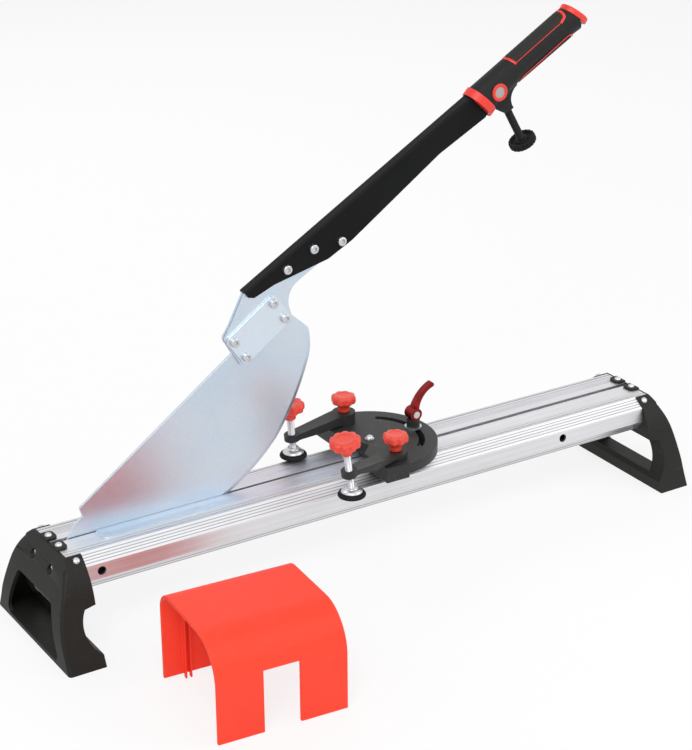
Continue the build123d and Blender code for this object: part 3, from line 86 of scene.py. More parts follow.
# The curve of screen colours: straight up to the knee, and a power above it
CURVE_KNEE, CURVE_SLOPE, CURVE_OFFSET, CURVE_POWER = 0.04045, 12.92, 0.055, 2.4

# Numbers of the sockets of a Mix node for colours
MIX_SHARE, MIX_FIRST, MIX_SECOND, MIX_RESULT = 0, 6, 7, 2

Colour = tuple[float, float, float]
Triple = tuple[float, float, float]
Pair = tuple[float, float]
Points = np.ndarray

WHITE: Colour = (1.0, 1.0, 1.0)


def tone(red: int, green: int, blue: int) -> Colour:
    """Linear colour of a screen colour.

    The share s of a channel becomes s / 12.92 up to the knee, and ((s + 0.055) / 1.055) ^ 2.4 above it.

    Args:
        red, green, blue: channels from 0 to 255.

    Returns:
        The same colour in linear light.
    """
    shares = (channel / 255 for channel in (red, green, blue))
    return tuple(
        s / CURVE_SLOPE if s <= CURVE_KNEE else ((s + CURVE_OFFSET) / (1 + CURVE_OFFSET)) ** CURVE_POWER
        for s in shares
    )


def shaded(colour: Colour, factor: float, lift: float = 0.0) -> Colour:
    """The colour with each channel multiplied and lifted, up to 1."""
    return tuple(min(1.0, factor * channel + lift) for channel in colour)


def opaque(colour: Colour) -> tuple[float, float, float, float]:
    """The colour with full alpha, as a colour socket takes it."""
    return (*colour, 1.0)


def show(name: str, data: bpy.types.ID) -> bpy.types.Object:
    """Stand a mesh, a lamp or a camera in the scene.

    Args:
        name: the new object's name.
        data: what it shows.

    Returns:
        The object, at the origin.
    """
    item = bpy.data.objects.new(name, data)
    bpy.context.scene.collection.objects.link(item)
    return item


# Shader graphs
class Wire:
    """One output of a shader graph. Arithmetic on it adds Math nodes."""

    def __init__(self, graph: "Graph", socket: bpy.types.NodeSocket) -> None:
        """Keep the graph and the socket that this wire leaves from."""
        self.graph = graph
        self.socket = socket

    def _math(self, operation: str, *terms: "Wire | float") -> "Wire":
        """Add one Math node on up to three terms."""
        return self.graph.add("ShaderNodeMath", {"operation": operation}, dict(enumerate(terms)))

    def __add__(self, other: "Wire | float") -> "Wire":
        """Sum."""
        return self._math("ADD", self, other)

    __radd__ = __add__

    def __sub__(self, other: "Wire | float") -> "Wire":
        """Difference."""
        return self._math("SUBTRACT", self, other)

    def __rsub__(self, other: "Wire | float") -> "Wire":
        """Difference the other way round."""
        return self._math("SUBTRACT", other, self)

    def __mul__(self, other: "Wire | float") -> "Wire":
        """Product."""
        return self._math("MULTIPLY", self, other)

    def absolute(self) -> "Wire":
        """The value without its sign."""
        return self._math("ABSOLUTE", self)

    def larger(self, other: "Wire | float") -> "Wire":
        """The larger of two values."""
        return self._math("MAXIMUM", self, other)

    def band(self, low: float, high: float) -> "Wire":
        """A value that rises smoothly from 0 at low to 1 at high."""
        values = {"Value": self, "From Min": low, "From Max": high, "To Min": 0.0, "To Max": 1.0}
        return self.graph.add("ShaderNodeMapRange", {"interpolation_type": "SMOOTHSTEP"}, values)


class Graph:
    """The node tree of a material or of the world, filled through one method for every kind of node."""

    def __init__(self, owner: bpy.types.Material | bpy.types.World) -> None:
        """Empty the tree of its owner."""
        self.owner = owner
        owner.use_nodes = True
        self.tree = owner.node_tree
        self.tree.nodes.clear()

    def add(
        self,
        kind: str,
        settings: dict[str, object] | None = None,
        inputs: dict[str | int, object] | None = None,
        output: str | int = 0,
    ) -> Wire:
        """Add one node.

        Args:
            kind: the node's type.
            settings: its own settings, such as a Math node's operation. They are set first.
            inputs: values or wires of its sockets, by name or number.
            output: name or number of the output that is handed on.

        Returns:
            The wire from that output.
        """
        node = self.tree.nodes.new(kind)
        for key, value in (settings or {}).items():
            setattr(node, key, value)
        for key, value in (inputs or {}).items():
            if isinstance(value, Wire):
                self.tree.links.new(value.socket, node.inputs[key])
            else:
                node.inputs[key].default_value = value
        return Wire(self, node.outputs[output])

    def coordinates(self) -> Wire:
        """Object coordinates, which move with the piece."""
        return self.add("ShaderNodeTexCoord", output="Object")

    def place(self, stretch: Triple = (1.0, 1.0, 1.0)) -> Wire:
        """Object coordinates, multiplied per axis by stretch."""
        return self.add("ShaderNodeMapping", None, {"Vector": self.coordinates(), "Scale": stretch})

    def ray(self, kind: str) -> Wire:
        """A value that is 1 on rays of a kind, such as Camera, and 0 on others."""
        return self.add("ShaderNodeLightPath", output=f"Is {kind} Ray")

    def noise(self, place: Wire, cells: float, detail: float = 2.0, roughness: float = 0.5) -> Wire:
        """Noise from 0 to 1 with so many cells in a metre, and finer layers by detail and roughness."""
        values = {"Vector": place, "Scale": cells, "Detail": detail, "Roughness": roughness}
        return self.add("ShaderNodeTexNoise", None, values, "Fac")

    def blend(self, share: Wire | float, first: Wire | Colour, second: Wire | Colour) -> Wire:
        """Mix two colours, or wires of colours, by the share of the second.

        Args:
            share: share of the second colour.
            first, second: colours or wires of colours.

        Returns:
            The mixed colour.
        """
        sides = [c if isinstance(c, Wire) else opaque(c) for c in (first, second)]
        values = {MIX_SHARE: share, MIX_FIRST: sides[0], MIX_SECOND: sides[1]}
        return self.add("ShaderNodeMix", {"data_type": "RGBA"}, values, MIX_RESULT)

    def bump(self, height: Wire, depth: float) -> Wire:
        """The normal of a height from 0 to 1, where 1 is the depth in metres."""
        return self.add("ShaderNodeBump", None, {"Height": height, "Distance": depth, "Strength": 1.0})

    def close(self, inputs: dict[str, object]) -> bpy.types.Material:
        """Finish the material with one Principled shader that has these inputs."""
        self.add_output(self.add("ShaderNodeBsdfPrincipled", None, inputs), "ShaderNodeOutputMaterial")
        return self.owner

    def add_output(self, shader: Wire, kind: str) -> None:
        """Send a shader to the output node of that kind."""
        node = self.tree.nodes.new(kind)
        self.tree.links.new(shader.socket, node.inputs["Surface"])


@dataclass(frozen=True)
class Finish:
    """What every finish has: a name, the record's slot that it belongs to, and one base colour."""

    name: str
    slot: str
    colour: Colour

    def graph(self) -> Graph:
        """A new material's graph under the finish's name."""
        return Graph(bpy.data.materials.new(self.name))


@dataclass(frozen=True)
class Moulded(Finish):
    """Moulded plastic: a fine grain, slow cloudy changes of tone, and rubbed places."""

    rubbed: Colour = (0.12, 0.12, 0.12)
    rubbed_share: float = 0.25
    roughness: float = 0.5
    grain: float = 1400.0
    grain_depth: float = 0.00006
    cloud_cells: float = 14.0
    cloud_shade: float = 0.8
    scuff_cells: float = 90.0
    scuff_stretch: Triple = (1.0, 1.0, 2.6)
    scuff_band: Pair = (0.55, 0.78)
    gloss_swings: Pair = (0.16, 0.08)
    gloss_offset: float = -0.12
    coat: float = 0.0
    coat_roughness: float = 0.18
    specular: float = 0.5

    def make(self) -> bpy.types.Material:
        """Build the material: cloud and scuffs move colour and gloss, the grain bends the normal."""
        graph = self.graph()
        place = graph.place()
        cloud = graph.noise(place, self.cloud_cells, 3.0)
        scuffs = graph.noise(graph.place(self.scuff_stretch), self.scuff_cells, 4.0, 0.7)
        grain = graph.noise(place, self.grain)
        base = graph.blend(cloud.band(0.3, 0.7), shaded(self.colour, self.cloud_shade), self.colour)
        worn = scuffs.band(*self.scuff_band) * self.rubbed_share
        slow, fine = self.gloss_swings
        return graph.close({
            "Base Color": graph.blend(worn, base, self.rubbed),
            "Roughness": cloud * slow + grain * fine + (self.roughness + self.gloss_offset),
            "Normal": graph.bump(grain, self.grain_depth),
            "Specular IOR Level": self.specular,
            "Coat Weight": self.coat,
            "Coat Roughness": self.coat_roughness,
        })


@dataclass(frozen=True)
class Brushed(Finish):
    """Extruded aluminium: fine groove lines painted dark as their shade, die lines and brushing along X,
    and faint handling marks.
    """

    roughness: float = 0.45
    line_depth: float = 0.00004
    dark_share: float = 0.84
    # Where the groove lines lie across the rail; each is painted dark as the shade inside it
    groove_shadows: tuple[float, ...] = (0.0272, 0.0320, 0.0387, 0.0414, 0.0441, 0.0468)
    groove_half: float = 0.00025
    groove_fade: float = 2.4
    groove_shadow_tone: float = 0.45
    fine_cells: float = 1500.0
    broad_cells: float = 240.0
    cloud_cells: float = 30.0
    streak_shares: Triple = (0.45, 0.4, 0.15)
    streak_band: Pair = (0.32, 0.66)
    gloss_swings: Pair = (0.14, 0.08)
    gloss_offset: float = -0.1
    line_shares: Pair = (0.7, 0.5)

    def make(self) -> bpy.types.Material:
        """Build the material: noise drawn out along X, and painted shade as dark lines where |y| is near
        the groove places.
        """
        graph = self.graph()
        across = graph.add("ShaderNodeSeparateXYZ", None, {"Vector": graph.coordinates()}, "Y").absolute()
        half, end = self.groove_half, self.groove_half * self.groove_fade
        # Painted shade: a dark line in the colour at each groove, standing for the shade inside it
        groove_shadows = sum(1.0 - (across - place).absolute().band(half, end) for place in self.groove_shadows)
        fine = graph.noise(graph.place((0.012, 1.0, 1.0)), self.fine_cells, 3.0, 0.6)
        broad = graph.noise(graph.place((0.006, 1.0, 1.0)), self.broad_cells)
        cloud = graph.noise(graph.place((0.5, 1.0, 1.0)), self.cloud_cells, 3.0)
        layers = zip((fine, broad, cloud), self.streak_shares)
        streaks = sum(layer * share for layer, share in layers).band(*self.streak_band)
        base = graph.blend(streaks, shaded(self.colour, self.dark_share), self.colour)
        quick, slow = self.gloss_swings
        fine_line, broad_line = self.line_shares
        return graph.close({
            "Base Color": graph.blend(groove_shadows, base, shaded(self.colour, self.groove_shadow_tone)),
            "Metallic": 1.0,
            "Roughness": fine * quick + cloud * slow + (self.roughness + self.gloss_offset),
            "Normal": graph.bump(fine * fine_line + broad * broad_line, self.line_depth),
        })


@dataclass(frozen=True)
class Plated(Finish):
    """Zinc plate: cool and warm clouds of the passivation, crystal mottling and a few scratches."""

    cool: Colour = (0.66, 0.76, 0.87)
    warm: Colour = (0.76, 0.67, 0.73)
    glint: Colour = (0.9, 0.92, 0.94)
    glint_share: float = 0.16
    warm_share: float = 0.7
    roughness: float = 0.3
    cloud_cells: float = 11.0
    patch_cells: float = 6.6
    crystal_cells: float = 420.0
    scratch_cells: float = 900.0
    relief_depth: float = 0.00003

    def make(self) -> bpy.types.Material:
        """Build the material: clouds shift the colour, small cells the gloss, scratches the normal."""
        graph = self.graph()
        place = graph.place()
        cloud = graph.noise(place, self.cloud_cells, 3.0, 0.6)
        patch = graph.noise(graph.place((1.0, 1.0, 0.6)), self.patch_cells)
        crystal = graph.noise(place, self.crystal_cells, 3.0, 0.6)
        scratches = graph.noise(graph.place((0.05, 1.0, 0.9)), self.scratch_cells).band(0.6, 0.75)
        cool = graph.blend(cloud.band(0.35, 0.7), self.colour, self.cool)
        base = graph.blend(patch.band(0.52, 0.72) * self.warm_share, cool, self.warm)
        return graph.close({
            "Base Color": graph.blend(crystal.band(0.4, 0.8) * self.glint_share, base, self.glint),
            "Metallic": 1.0,
            "Roughness": crystal * 0.12 + cloud * 0.1 + scratches * 0.08 + (self.roughness - 0.1),
            "Normal": graph.bump(crystal * 0.5 + scratches * 0.3, self.relief_depth),
        })


@dataclass(frozen=True)
class BrightMetal(Finish):
    """Small turned or pressed metal parts: bright zinc with faint tool marks and a little grime."""

    roughness: float = 0.25
    grime: Colour = (0.25, 0.25, 0.26)
    grime_share: float = 0.35
    grime_cells: float = 260.0
    mark_cells: float = 1800.0
    mark_depth: float = 0.00002

    def make(self) -> bpy.types.Material:
        """Build the material: grime gathers in clouds, fine tool marks move the gloss."""
        graph = self.graph()
        place = graph.place()
        marks = graph.noise(place, self.mark_cells)
        dirt = graph.noise(place, self.grime_cells, 3.0, 0.6).band(0.5, 0.85)
        return graph.close({
            "Base Color": graph.blend(dirt * self.grime_share, self.colour, self.grime),
            "Metallic": 1.0,
            "Roughness": marks * 0.14 + dirt * 0.15 + (self.roughness - 0.06),
            "Normal": graph.bump(marks, self.mark_depth),
        })


@dataclass(frozen=True)
class Painted(Finish):
    """Satin powder coat on steel: a faint orange peel and dust-pale rubbed spots."""

    roughness: float = 0.45
    specular: float = 0.28
    dust: Colour = (0.05, 0.05, 0.051)
    dust_share: float = 0.25
    peel_cells: float = 700.0
    peel_depth: float = 0.00005
    cloud_cells: float = 9.0
    rub_cells: float = 160.0

    def make(self) -> bpy.types.Material:
        """Build the material: orange peel bends the normal, rubbed spots lighten the paint."""
        graph = self.graph()
        place = graph.place()
        peel = graph.noise(place, self.peel_cells, 1.0)
        cloud = graph.noise(place, self.cloud_cells, 3.0)
        rubbed = graph.noise(graph.place((0.4, 1.0, 1.0)), self.rub_cells, 4.0, 0.65).band(0.62, 0.85)
        base = graph.blend(cloud.band(0.3, 0.75), self.colour, shaded(self.colour, 1.4, 0.003))
        return graph.close({
            "Base Color": graph.blend(rubbed * self.dust_share, base, self.dust),
            "Roughness": peel * 0.1 + rubbed * 0.12 + (self.roughness - 0.05),
            "Normal": graph.bump(peel, self.peel_depth),
            "Specular IOR Level": self.specular,
        })


@dataclass(frozen=True)
class Anodised(Finish):
    """Dyed anodised aluminium: a deep metallic red that is paler where it is handled."""

    line_cells: float = 1600.0
    line_depth: float = 0.00002
    cloud_cells: float = 120.0

    def make(self) -> bpy.types.Material:
        """Build the material: fine noise drawn out along Z moves tone and gloss."""
        graph = self.graph()
        lines = graph.noise(graph.place((1.0, 1.0, 0.1)), self.line_cells)
        cloud = graph.noise(graph.place(), self.cloud_cells)
        return graph.close({
            "Base Color": graph.blend(cloud.band(0.35, 0.75), self.colour, shaded(self.colour, 1.4, 0.005)),
            "Metallic": 0.85,
            "Roughness": lines * 0.16 + 0.3,
            "Normal": graph.bump(lines, self.line_depth),
            "Coat Weight": 0.2,
            "Coat Roughness": 0.15,
        })


ALUMINIUM = Brushed("brushed_aluminium", "aluminium_rail", tone(230, 230, 233))
FOOT_BLACK = Moulded(
    "foot_moulding", "foot_plastic", tone(33, 33, 30), tone(82, 80, 74), 0.18, 0.56, specular=0.22,
)
ZINC = Plated(
    "zinc_plate", "zinc_steel", tone(206, 216, 226),
    cool=(0.56, 0.66, 0.76), warm=(0.66, 0.59, 0.65), roughness=0.4,
)
JOINT_ZINC = Plated("joint_zinc_plate", "zinc_steel", tone(214, 223, 231), roughness=0.38)
BRIGHT = BrightMetal("bright_zinc", "bright_fastener", tone(206, 208, 211), 0.34)
SATIN_BLACK = Painted("satin_black_paint", "black_paint", tone(9, 10, 10), specular=0.12)
POST_BLACK = Painted("post_black_paint", "black_paint", tone(18, 18, 18), specular=0.2)
GRIP_BLACK = Moulded(
    "grip_moulding", "grip_plastic", tone(30, 30, 30), tone(80, 78, 77), 0.12, 0.55, specular=0.22,
)
GRIP_DARK = Moulded(
    "grip_insert", "grip_plastic", tone(38, 37, 35), tone(78, 76, 72), 0.15, 0.68, specular=0.3,
)
BADGE_GREY = Moulded("badge_face", "grip_plastic", tone(168, 162, 162), tone(210, 208, 208), 0.2, 0.4)
PLATE_BLACK = Moulded(
    "gauge_moulding", "black_plastic", tone(42, 43, 42), tone(120, 118, 112), 0.24, 0.5, specular=0.35,
)
KNOB_RED = Moulded(
    "knob_moulding", "red_plastic", tone(246, 72, 52), tone(250, 130, 108), 0.2, 0.38, coat=0.1,
)
TRIM_RED = Moulded("trim_moulding", "red_plastic", tone(232, 56, 44), tone(246, 116, 100), 0.12, 0.42)
RUBBER = Moulded(
    "black_rubber", "black_rubber", tone(20, 20, 19), tone(70, 70, 68), 0.15, 0.68, specular=0.22,
)
LEVER_RED = Anodised("red_anodised", "red_anodised", tone(126, 6, 8))
SUPPORT_RED = Moulded(
    "support_moulding", "support_plastic", tone(254, 68, 44), tone(255, 118, 92), 0.14, 0.46,
    grain=500.0, grain_depth=0.00008, cloud_shade=0.93, specular=0.32,
)


class Shop:
    """Makes each finish once and hands out its material."""

    def __init__(self) -> None:
        """Start with no material made."""
        self._made: dict[str, bpy.types.Material] = {}

    def material(self, finish: Finish) -> bpy.types.Material:
        """The material of a finish, made on first use."""
        if finish.name not in self._made:
            self._made[finish.name] = finish.make()
        return self._made[finish.name]


# Surfaces
def smooth_corners(corners: Points, radius: float, steps: int = 4) -> Points:
    """Round a profile's inner corners.

    Each corner gives way to a quadratic curve: (1-t)^2 A + 2t(1-t) P + t^2 C, where P is the corner, and
    A and C lie on its two runs at the radius, or at half of a shorter run.

    Args:
        corners: the profile's corners, one row each.
        radius: how far from the corner the curve starts.
        steps: how many parts the curve has.

    Returns:
        The rounded profile with the same two ends.
    """
    corner = corners[1:-1, None, :]

    def reached(run: Points) -> Points:
        """The point of each run where its corner's curve starts."""
        length = np.linalg.norm(run, axis=2, keepdims=True)
        return corner + run * np.minimum(radius / np.maximum(length, TINY), 0.5)

    first = reached(corners[:-2, None, :] - corner)
    last = reached(corners[2:, None, :] - corner)
    t = np.linspace(0, 1, steps + 1)[None, :, None]
    curve = (1 - t) ** 2 * first + 2 * t * (1 - t) * corner + t ** 2 * last
    return np.vstack([corners[:1], curve.reshape(-1, corners.shape[1]), corners[-1:]])


@dataclass(frozen=True)
class Seat:
    """A place with its own axes: along is the turning axis of what stands there."""

    origin: Triple
    across: Triple = (1.0, 0.0, 0.0)
    along: Triple = (0.0, 0.0, 1.0)

    def carry(self, points: Points) -> Points:
        """Carry local points (across, side, along) to the frame: origin + x across + y side + z along."""
        across, along = np.array(self.across), np.array(self.along)
        side = np.cross(along, across)
        return np.array(self.origin) + points @ np.array([across, side, along])

    def raised(self, height: float) -> "Seat":
        """The same seat further along its axis."""
        origin = np.array(self.origin) + height * np.array(self.along)
        return Seat(tuple(origin.tolist()), self.across, self.along)

    @classmethod
    def leaning(cls, origin: Triple, heading: float, lean: float) -> "Seat":
        """A seat whose axis leans from the upright.

        Args:
            origin: where it stands.
            heading: direction in which it leans, in degrees from X.
            lean: how far, in degrees.

        Returns:
            The seat, with the axis (cos h sin l, sin h sin l, cos l).
        """
        h, l = math.radians(heading), math.radians(lean)
        across = (math.cos(h) * math.cos(l), math.sin(h) * math.cos(l), -math.sin(l))
        return cls(origin, across, (math.cos(h) * math.sin(l), math.sin(h) * math.sin(l), math.cos(l)))


def grid_faces(rows: int, columns: int, wrap: bool) -> Points:
    """Quads between neighbouring rows and columns of a grid of points.

    Args:
        rows: how many rows the grid has.
        columns: how many columns it has.
        wrap: whether the last column joins the first.

    Returns:
        Four indices a face.
    """
    row = np.arange(rows - 1)[:, None]
    column = np.arange(columns if wrap else columns - 1)[None, :]
    ahead = (column + 1) % columns
    near, far = row * columns, (row + 1) * columns
    quads = [near + column, near + ahead, far + ahead, far + column]
    return np.stack(quads, axis=-1).reshape(-1, 4)


def tidy_mesh(mesh: bpy.types.Mesh, sharp_degrees: float) -> None:
    """Merge doubles, turn a closed mesh's faces outwards, and mark its sharp edges.

    Args:
        mesh: the mesh.
        sharp_degrees: edges that turn by more than this stay sharp.
    """
    work = bmesh.new()
    work.from_mesh(mesh)
    bmesh.ops.remove_doubles(work, verts=work.verts, dist=MERGE_DISTANCE)
    bmesh.ops.dissolve_degenerate(work, edges=work.edges, dist=MERGE_DISTANCE)
    bmesh.ops.recalc_face_normals(work, faces=work.faces)
    work.to_mesh(mesh)
    work.free()
    mesh.shade_smooth()
    mesh.set_sharp_from_angle(angle=math.radians(sharp_degrees))


def surface(name: str, grid: Points, wrap: bool = True, sharp_degrees: float = 35.0) -> bpy.types.Object:
    """Make an object of a grid of points, or of a stack of such grids.

    Args:
        name: the piece's name.
        grid: points as rows, columns, and three coordinates, or a stack of these.
        wrap: whether each row is a closed ring.
        sharp_degrees: edges that turn by more than this stay sharp.

    Returns:
        The object, at the origin.
    """
    rows, columns = grid.shape[-3:-1]
    copies = grid.size // (3 * rows * columns)
    starts = rows * columns * np.arange(copies)[:, None, None]
    faces = (grid_faces(rows, columns, wrap)[None] + starts).reshape(-1, 4)
    mesh = bpy.data.meshes.new(name)
    mesh.from_pydata(grid.reshape(-1, 3).tolist(), [], faces.tolist())
    tidy_mesh(mesh, sharp_degrees)
    return show(name, mesh)


def circle(columns: int) -> Points:
    """Angles evenly spaced round a circle, as one row."""
    return np.linspace(0, FULL_TURN, columns, endpoint=False)[None, :]


def polar(radius: Points, angle: Points, height: Points) -> Points:
    """Points (r cos a, r sin a, z)."""
    return np.stack(np.broadcast_arrays(radius * np.cos(angle), radius * np.sin(angle), height), axis=-1)


def turned(
    profile: Points, seat: Seat, columns: int = 64,
    shape: Callable[[Points, Points], Points] | None = None,
) -> Points:
    """Turn a profile about a seat's axis.

    Args:
        profile: rows of radius and height, from one end of the axis to the other.
        seat: where it stands.
        columns: points round the axis.
        shape: changes the radii, given the radius and angle of every point.

    Returns:
        The grid of points in the frame.
    """
    angle = circle(columns)
    radius, height = (profile[:, [column]].repeat(columns, axis=1) for column in (0, 1))
    if shape:
        radius = shape(radius, angle)
    return seat.carry(polar(radius, angle, height))


@dataclass(frozen=True)
class Thread:
    """A threaded bar: its radius falls by the depth and rises again once in each pitch of the helix."""

    radius: float
    pitch: float
    length: float
    depth: float = 0.0006
    columns: int = 30
    rows_per_turn: int = 8

    def grid(self, seat: Seat) -> Points:
        """Points of the bar.

        The radius is R - depth * (1 - |2 frac(z / pitch - a / 2 pi) - 1|), faded to the core at both ends,
        and one point on the axis closes each end.

        Args:
            seat: the lower end of the bar and its axis.

        Returns:
            The grid of points in the frame.
        """
        rows = int(self.length / self.pitch * self.rows_per_turn) + 1
        height = np.linspace(0, self.length, rows)[:, None]
        angle = circle(self.columns)
        phase = (height / self.pitch - angle / FULL_TURN) % 1.0
        groove = 1 - np.abs(2 * phase - 1)
        ends = np.clip(np.minimum(height, self.length - height) / self.pitch, 0, 1)
        radius = self.radius - self.depth * (groove * ends + (1 - ends))
        bar = polar(radius, angle, height)
        bottom = np.zeros((1, self.columns, 3))
        top = bottom + np.array([0, 0, self.length])
        return seat.carry(np.concatenate([bottom, bar, top]))


@dataclass(frozen=True)
class LobedKnob:
    """A hand knob with rounded lobes, a hollowed crown and, on some, a stem."""

    radius: float
    height: float
    lobes: int
    scallop: float = 0.0019
    stem_radius: float = 0.0
    stem_length: float = 0.0
    stem_sink: float = 0.0015
    skirt_rise: float = 0.002
    lobe_start: float = 0.45
    lobe_powers: Pair = (1.5, 1.6)
    columns_per_lobe: int = 16

    def grid(self, seat: Seat) -> Points:
        """Points of the knob.

        The radius of a point is r - scallop * w ^ 1.5 * (0.5 - 0.5 cos(n a)) ^ 1.6, where w grows from 0
        to 1 between 45% and 90% of the knob's radius.

        Args:
            seat: the middle of the knob's underside.

        Returns:
            The grid of points in the frame.
        """
        r, h = self.radius, self.height
        foot = [(0, 0), (0.40 * r, 0)]
        if self.stem_length:
            bottom, side = -self.stem_length, self.stem_radius
            foot = [(0, bottom), (side, bottom), (side, -self.stem_sink)]
        corners = np.array(foot + [
            (0.62 * r, self.skirt_rise), (0.93 * r, 0.26 * h), (r, 0.40 * h), (r, 0.80 * h),
            (0.93 * r, 0.93 * h), (0.78 * r, h), (0.56 * r, h), (0.46 * r, 0.945 * h), (0.2 * r, 0.93 * h),
            (0, 0.93 * h),
        ])
        profile = smooth_corners(corners, 0.12 * r)
        rim_power, lobe_power = self.lobe_powers

        def lobed(radius: Points, angle: Points) -> Points:
            """Draw the radii in between the lobes."""
            weight = np.clip((radius / r - self.lobe_start) / self.lobe_start, 0, 1) ** rim_power
            return radius - self.scallop * weight * (0.5 - 0.5 * np.cos(self.lobes * angle)) ** lobe_power

        return turned(profile, seat, self.columns_per_lobe * self.lobes, lobed)


# Pieces made from CAD nodes
def read_rows(
    items: bpy.types.bpy_prop_collection, key: str, width: int = 1, kind: type = float
) -> Points:
    """One property of a mesh's items.

    Args:
        items: the points, edges, loops or faces.
        key: the property's name.
        width: how many values an item has.
        kind: their type.

    Returns:
        One row an item.
    """
    values = np.empty(len(items) * width, dtype=kind)
    items.foreach_get(key, values)
    return values.reshape(-1, width)


@dataclass(frozen=True)
class Rounding:
    """Widths of a copy's rounded edges: narrow ones everywhere, and broad ones on one side's outline."""

    narrow_mm: float
    broad_mm: float = 0.0
    facing: Triple = (0.0, 0.0, 1.0)
    lowest: float = -1.0
    highest: float = 1.0
    sharp_degrees: float = SHARP_DEGREES
    leaning: float = 0.5
    broad_segments: int = 4
    narrow_segments: int = 2

    def outline_weights(self, mesh: bpy.types.Mesh) -> Points:
        """Weight 1 for the edges of the outline that faces the side, and 0 for the others.

        A candidate is convex, (c2 - c1) . n1 < 0 for its faces' centres and normals, turns by more than the
        sharp angle, and the sum of its two normals leans to the side. Candidates that share corners make
        one ring, and the ring that spans the longest box is the outline. Of it, the edges whose middles lie
        between the lowest and the highest height count.

        Args:
            mesh: the merged mesh.

        Returns:
            One weight an edge.
        """
        points = read_rows(mesh.vertices, "co", 3)
        ends = read_rows(mesh.edges, "vertices", 2, np.int32)
        normals, centres = (read_rows(mesh.polygons, key, 3) for key in ("normal", "center"))
        edge_of_loop = read_rows(mesh.loops, "edge_index", kind=np.int32).ravel()
        corners = read_rows(mesh.polygons, "loop_total", kind=np.int32).ravel()
        face_of_loop = np.repeat(np.arange(len(corners)), corners)
        order = np.argsort(edge_of_loop, kind="stable")
        first, second = face_of_loop[order[0::2]], face_of_loop[order[1::2]]
        turn = (normals[first] * normals[second]).sum(axis=1) < math.cos(math.radians(self.sharp_degrees))
        convex = ((centres[second] - centres[first]) * normals[first]).sum(axis=1) < 0
        leans = (normals[first] + normals[second]) @ np.array(self.facing) > self.leaning
        chosen = np.flatnonzero(turn & convex & leans)
        ring = np.arange(len(points))
        for _ in range(len(points)):
            least = ring[ends[chosen]].min(axis=1)
            before = ring.copy()
            np.minimum.at(ring, ends[chosen].ravel(), least.repeat(2))
            if (ring == before).all():
                break
        labels = ring[ends[chosen, 0]]
        spans = {
            label: float(np.ptp(points[ends[chosen[labels == label]]].reshape(-1, 3), axis=0).sum())
            for label in np.unique(labels)
        }
        outline = chosen[labels == max(spans, key=spans.get)]
        height = points[ends[outline]].mean(axis=1)[:, 2]
        weights = np.zeros(len(mesh.edges))
        weights[outline[(height > self.lowest) & (height < self.highest)]] = 1.0
        return weights

    def apply(self, piece: bpy.types.Object) -> None:
        """Give a piece its Bevel modifiers, the broad one first."""
        if self.broad_mm:
            weights = self.outline_weights(piece.data)
            layer = piece.data.attributes.new("bevel_weight_edge", "FLOAT", "EDGE")
            layer.data.foreach_set("value", weights)
            broad = piece.modifiers.new("broad edges", "BEVEL")
            broad.width = self.broad_mm * MM
            broad.segments = self.broad_segments
            broad.limit_method = "WEIGHT"
            broad.use_clamp_overlap = False
            broad.harden_normals = True
        narrow = piece.modifiers.new("softened edges", "BEVEL")
        narrow.width = self.narrow_mm * MM
        narrow.segments = self.narrow_segments
        narrow.limit_method = "ANGLE"
        narrow.angle_limit = math.radians(self.sharp_degrees)
        narrow.harden_normals = True


def merged_copy(
    node: bpy.types.Object, name: str, sharp_degrees: float = SHARP_DEGREES
) -> bpy.types.Object:
    """A copy of a CAD node with its loose triangles merged and its flat neighbours joined.

    Args:
        node: the CAD node's object.
        name: the new piece's name.
        sharp_degrees: edges that turn by more than this stay sharp.

    Returns:
        The new object, at the origin.
    """
    mesh = node.data.copy()
    mesh.name = name
    work = bmesh.new()
    work.from_mesh(mesh)
    bmesh.ops.remove_doubles(work, verts=work.verts, dist=MERGE_DISTANCE)
    flat = math.radians(FLAT_DEGREES)
    bmesh.ops.dissolve_limit(work, angle_limit=flat, verts=work.verts, edges=work.edges)
    work.to_mesh(mesh)
    work.free()
    tidy_mesh(mesh, sharp_degrees)
    return show(name, mesh)


def move_points(mesh: bpy.types.Mesh, change: Callable[[Points], Points]) -> None:
    """Move a mesh's points.

    Args:
        mesh: the mesh.
        change: gives the new places of rows of points.
    """
    mesh.vertices.foreach_set("co", change(read_rows(mesh.vertices, "co", 3)).ravel())
    mesh.update()


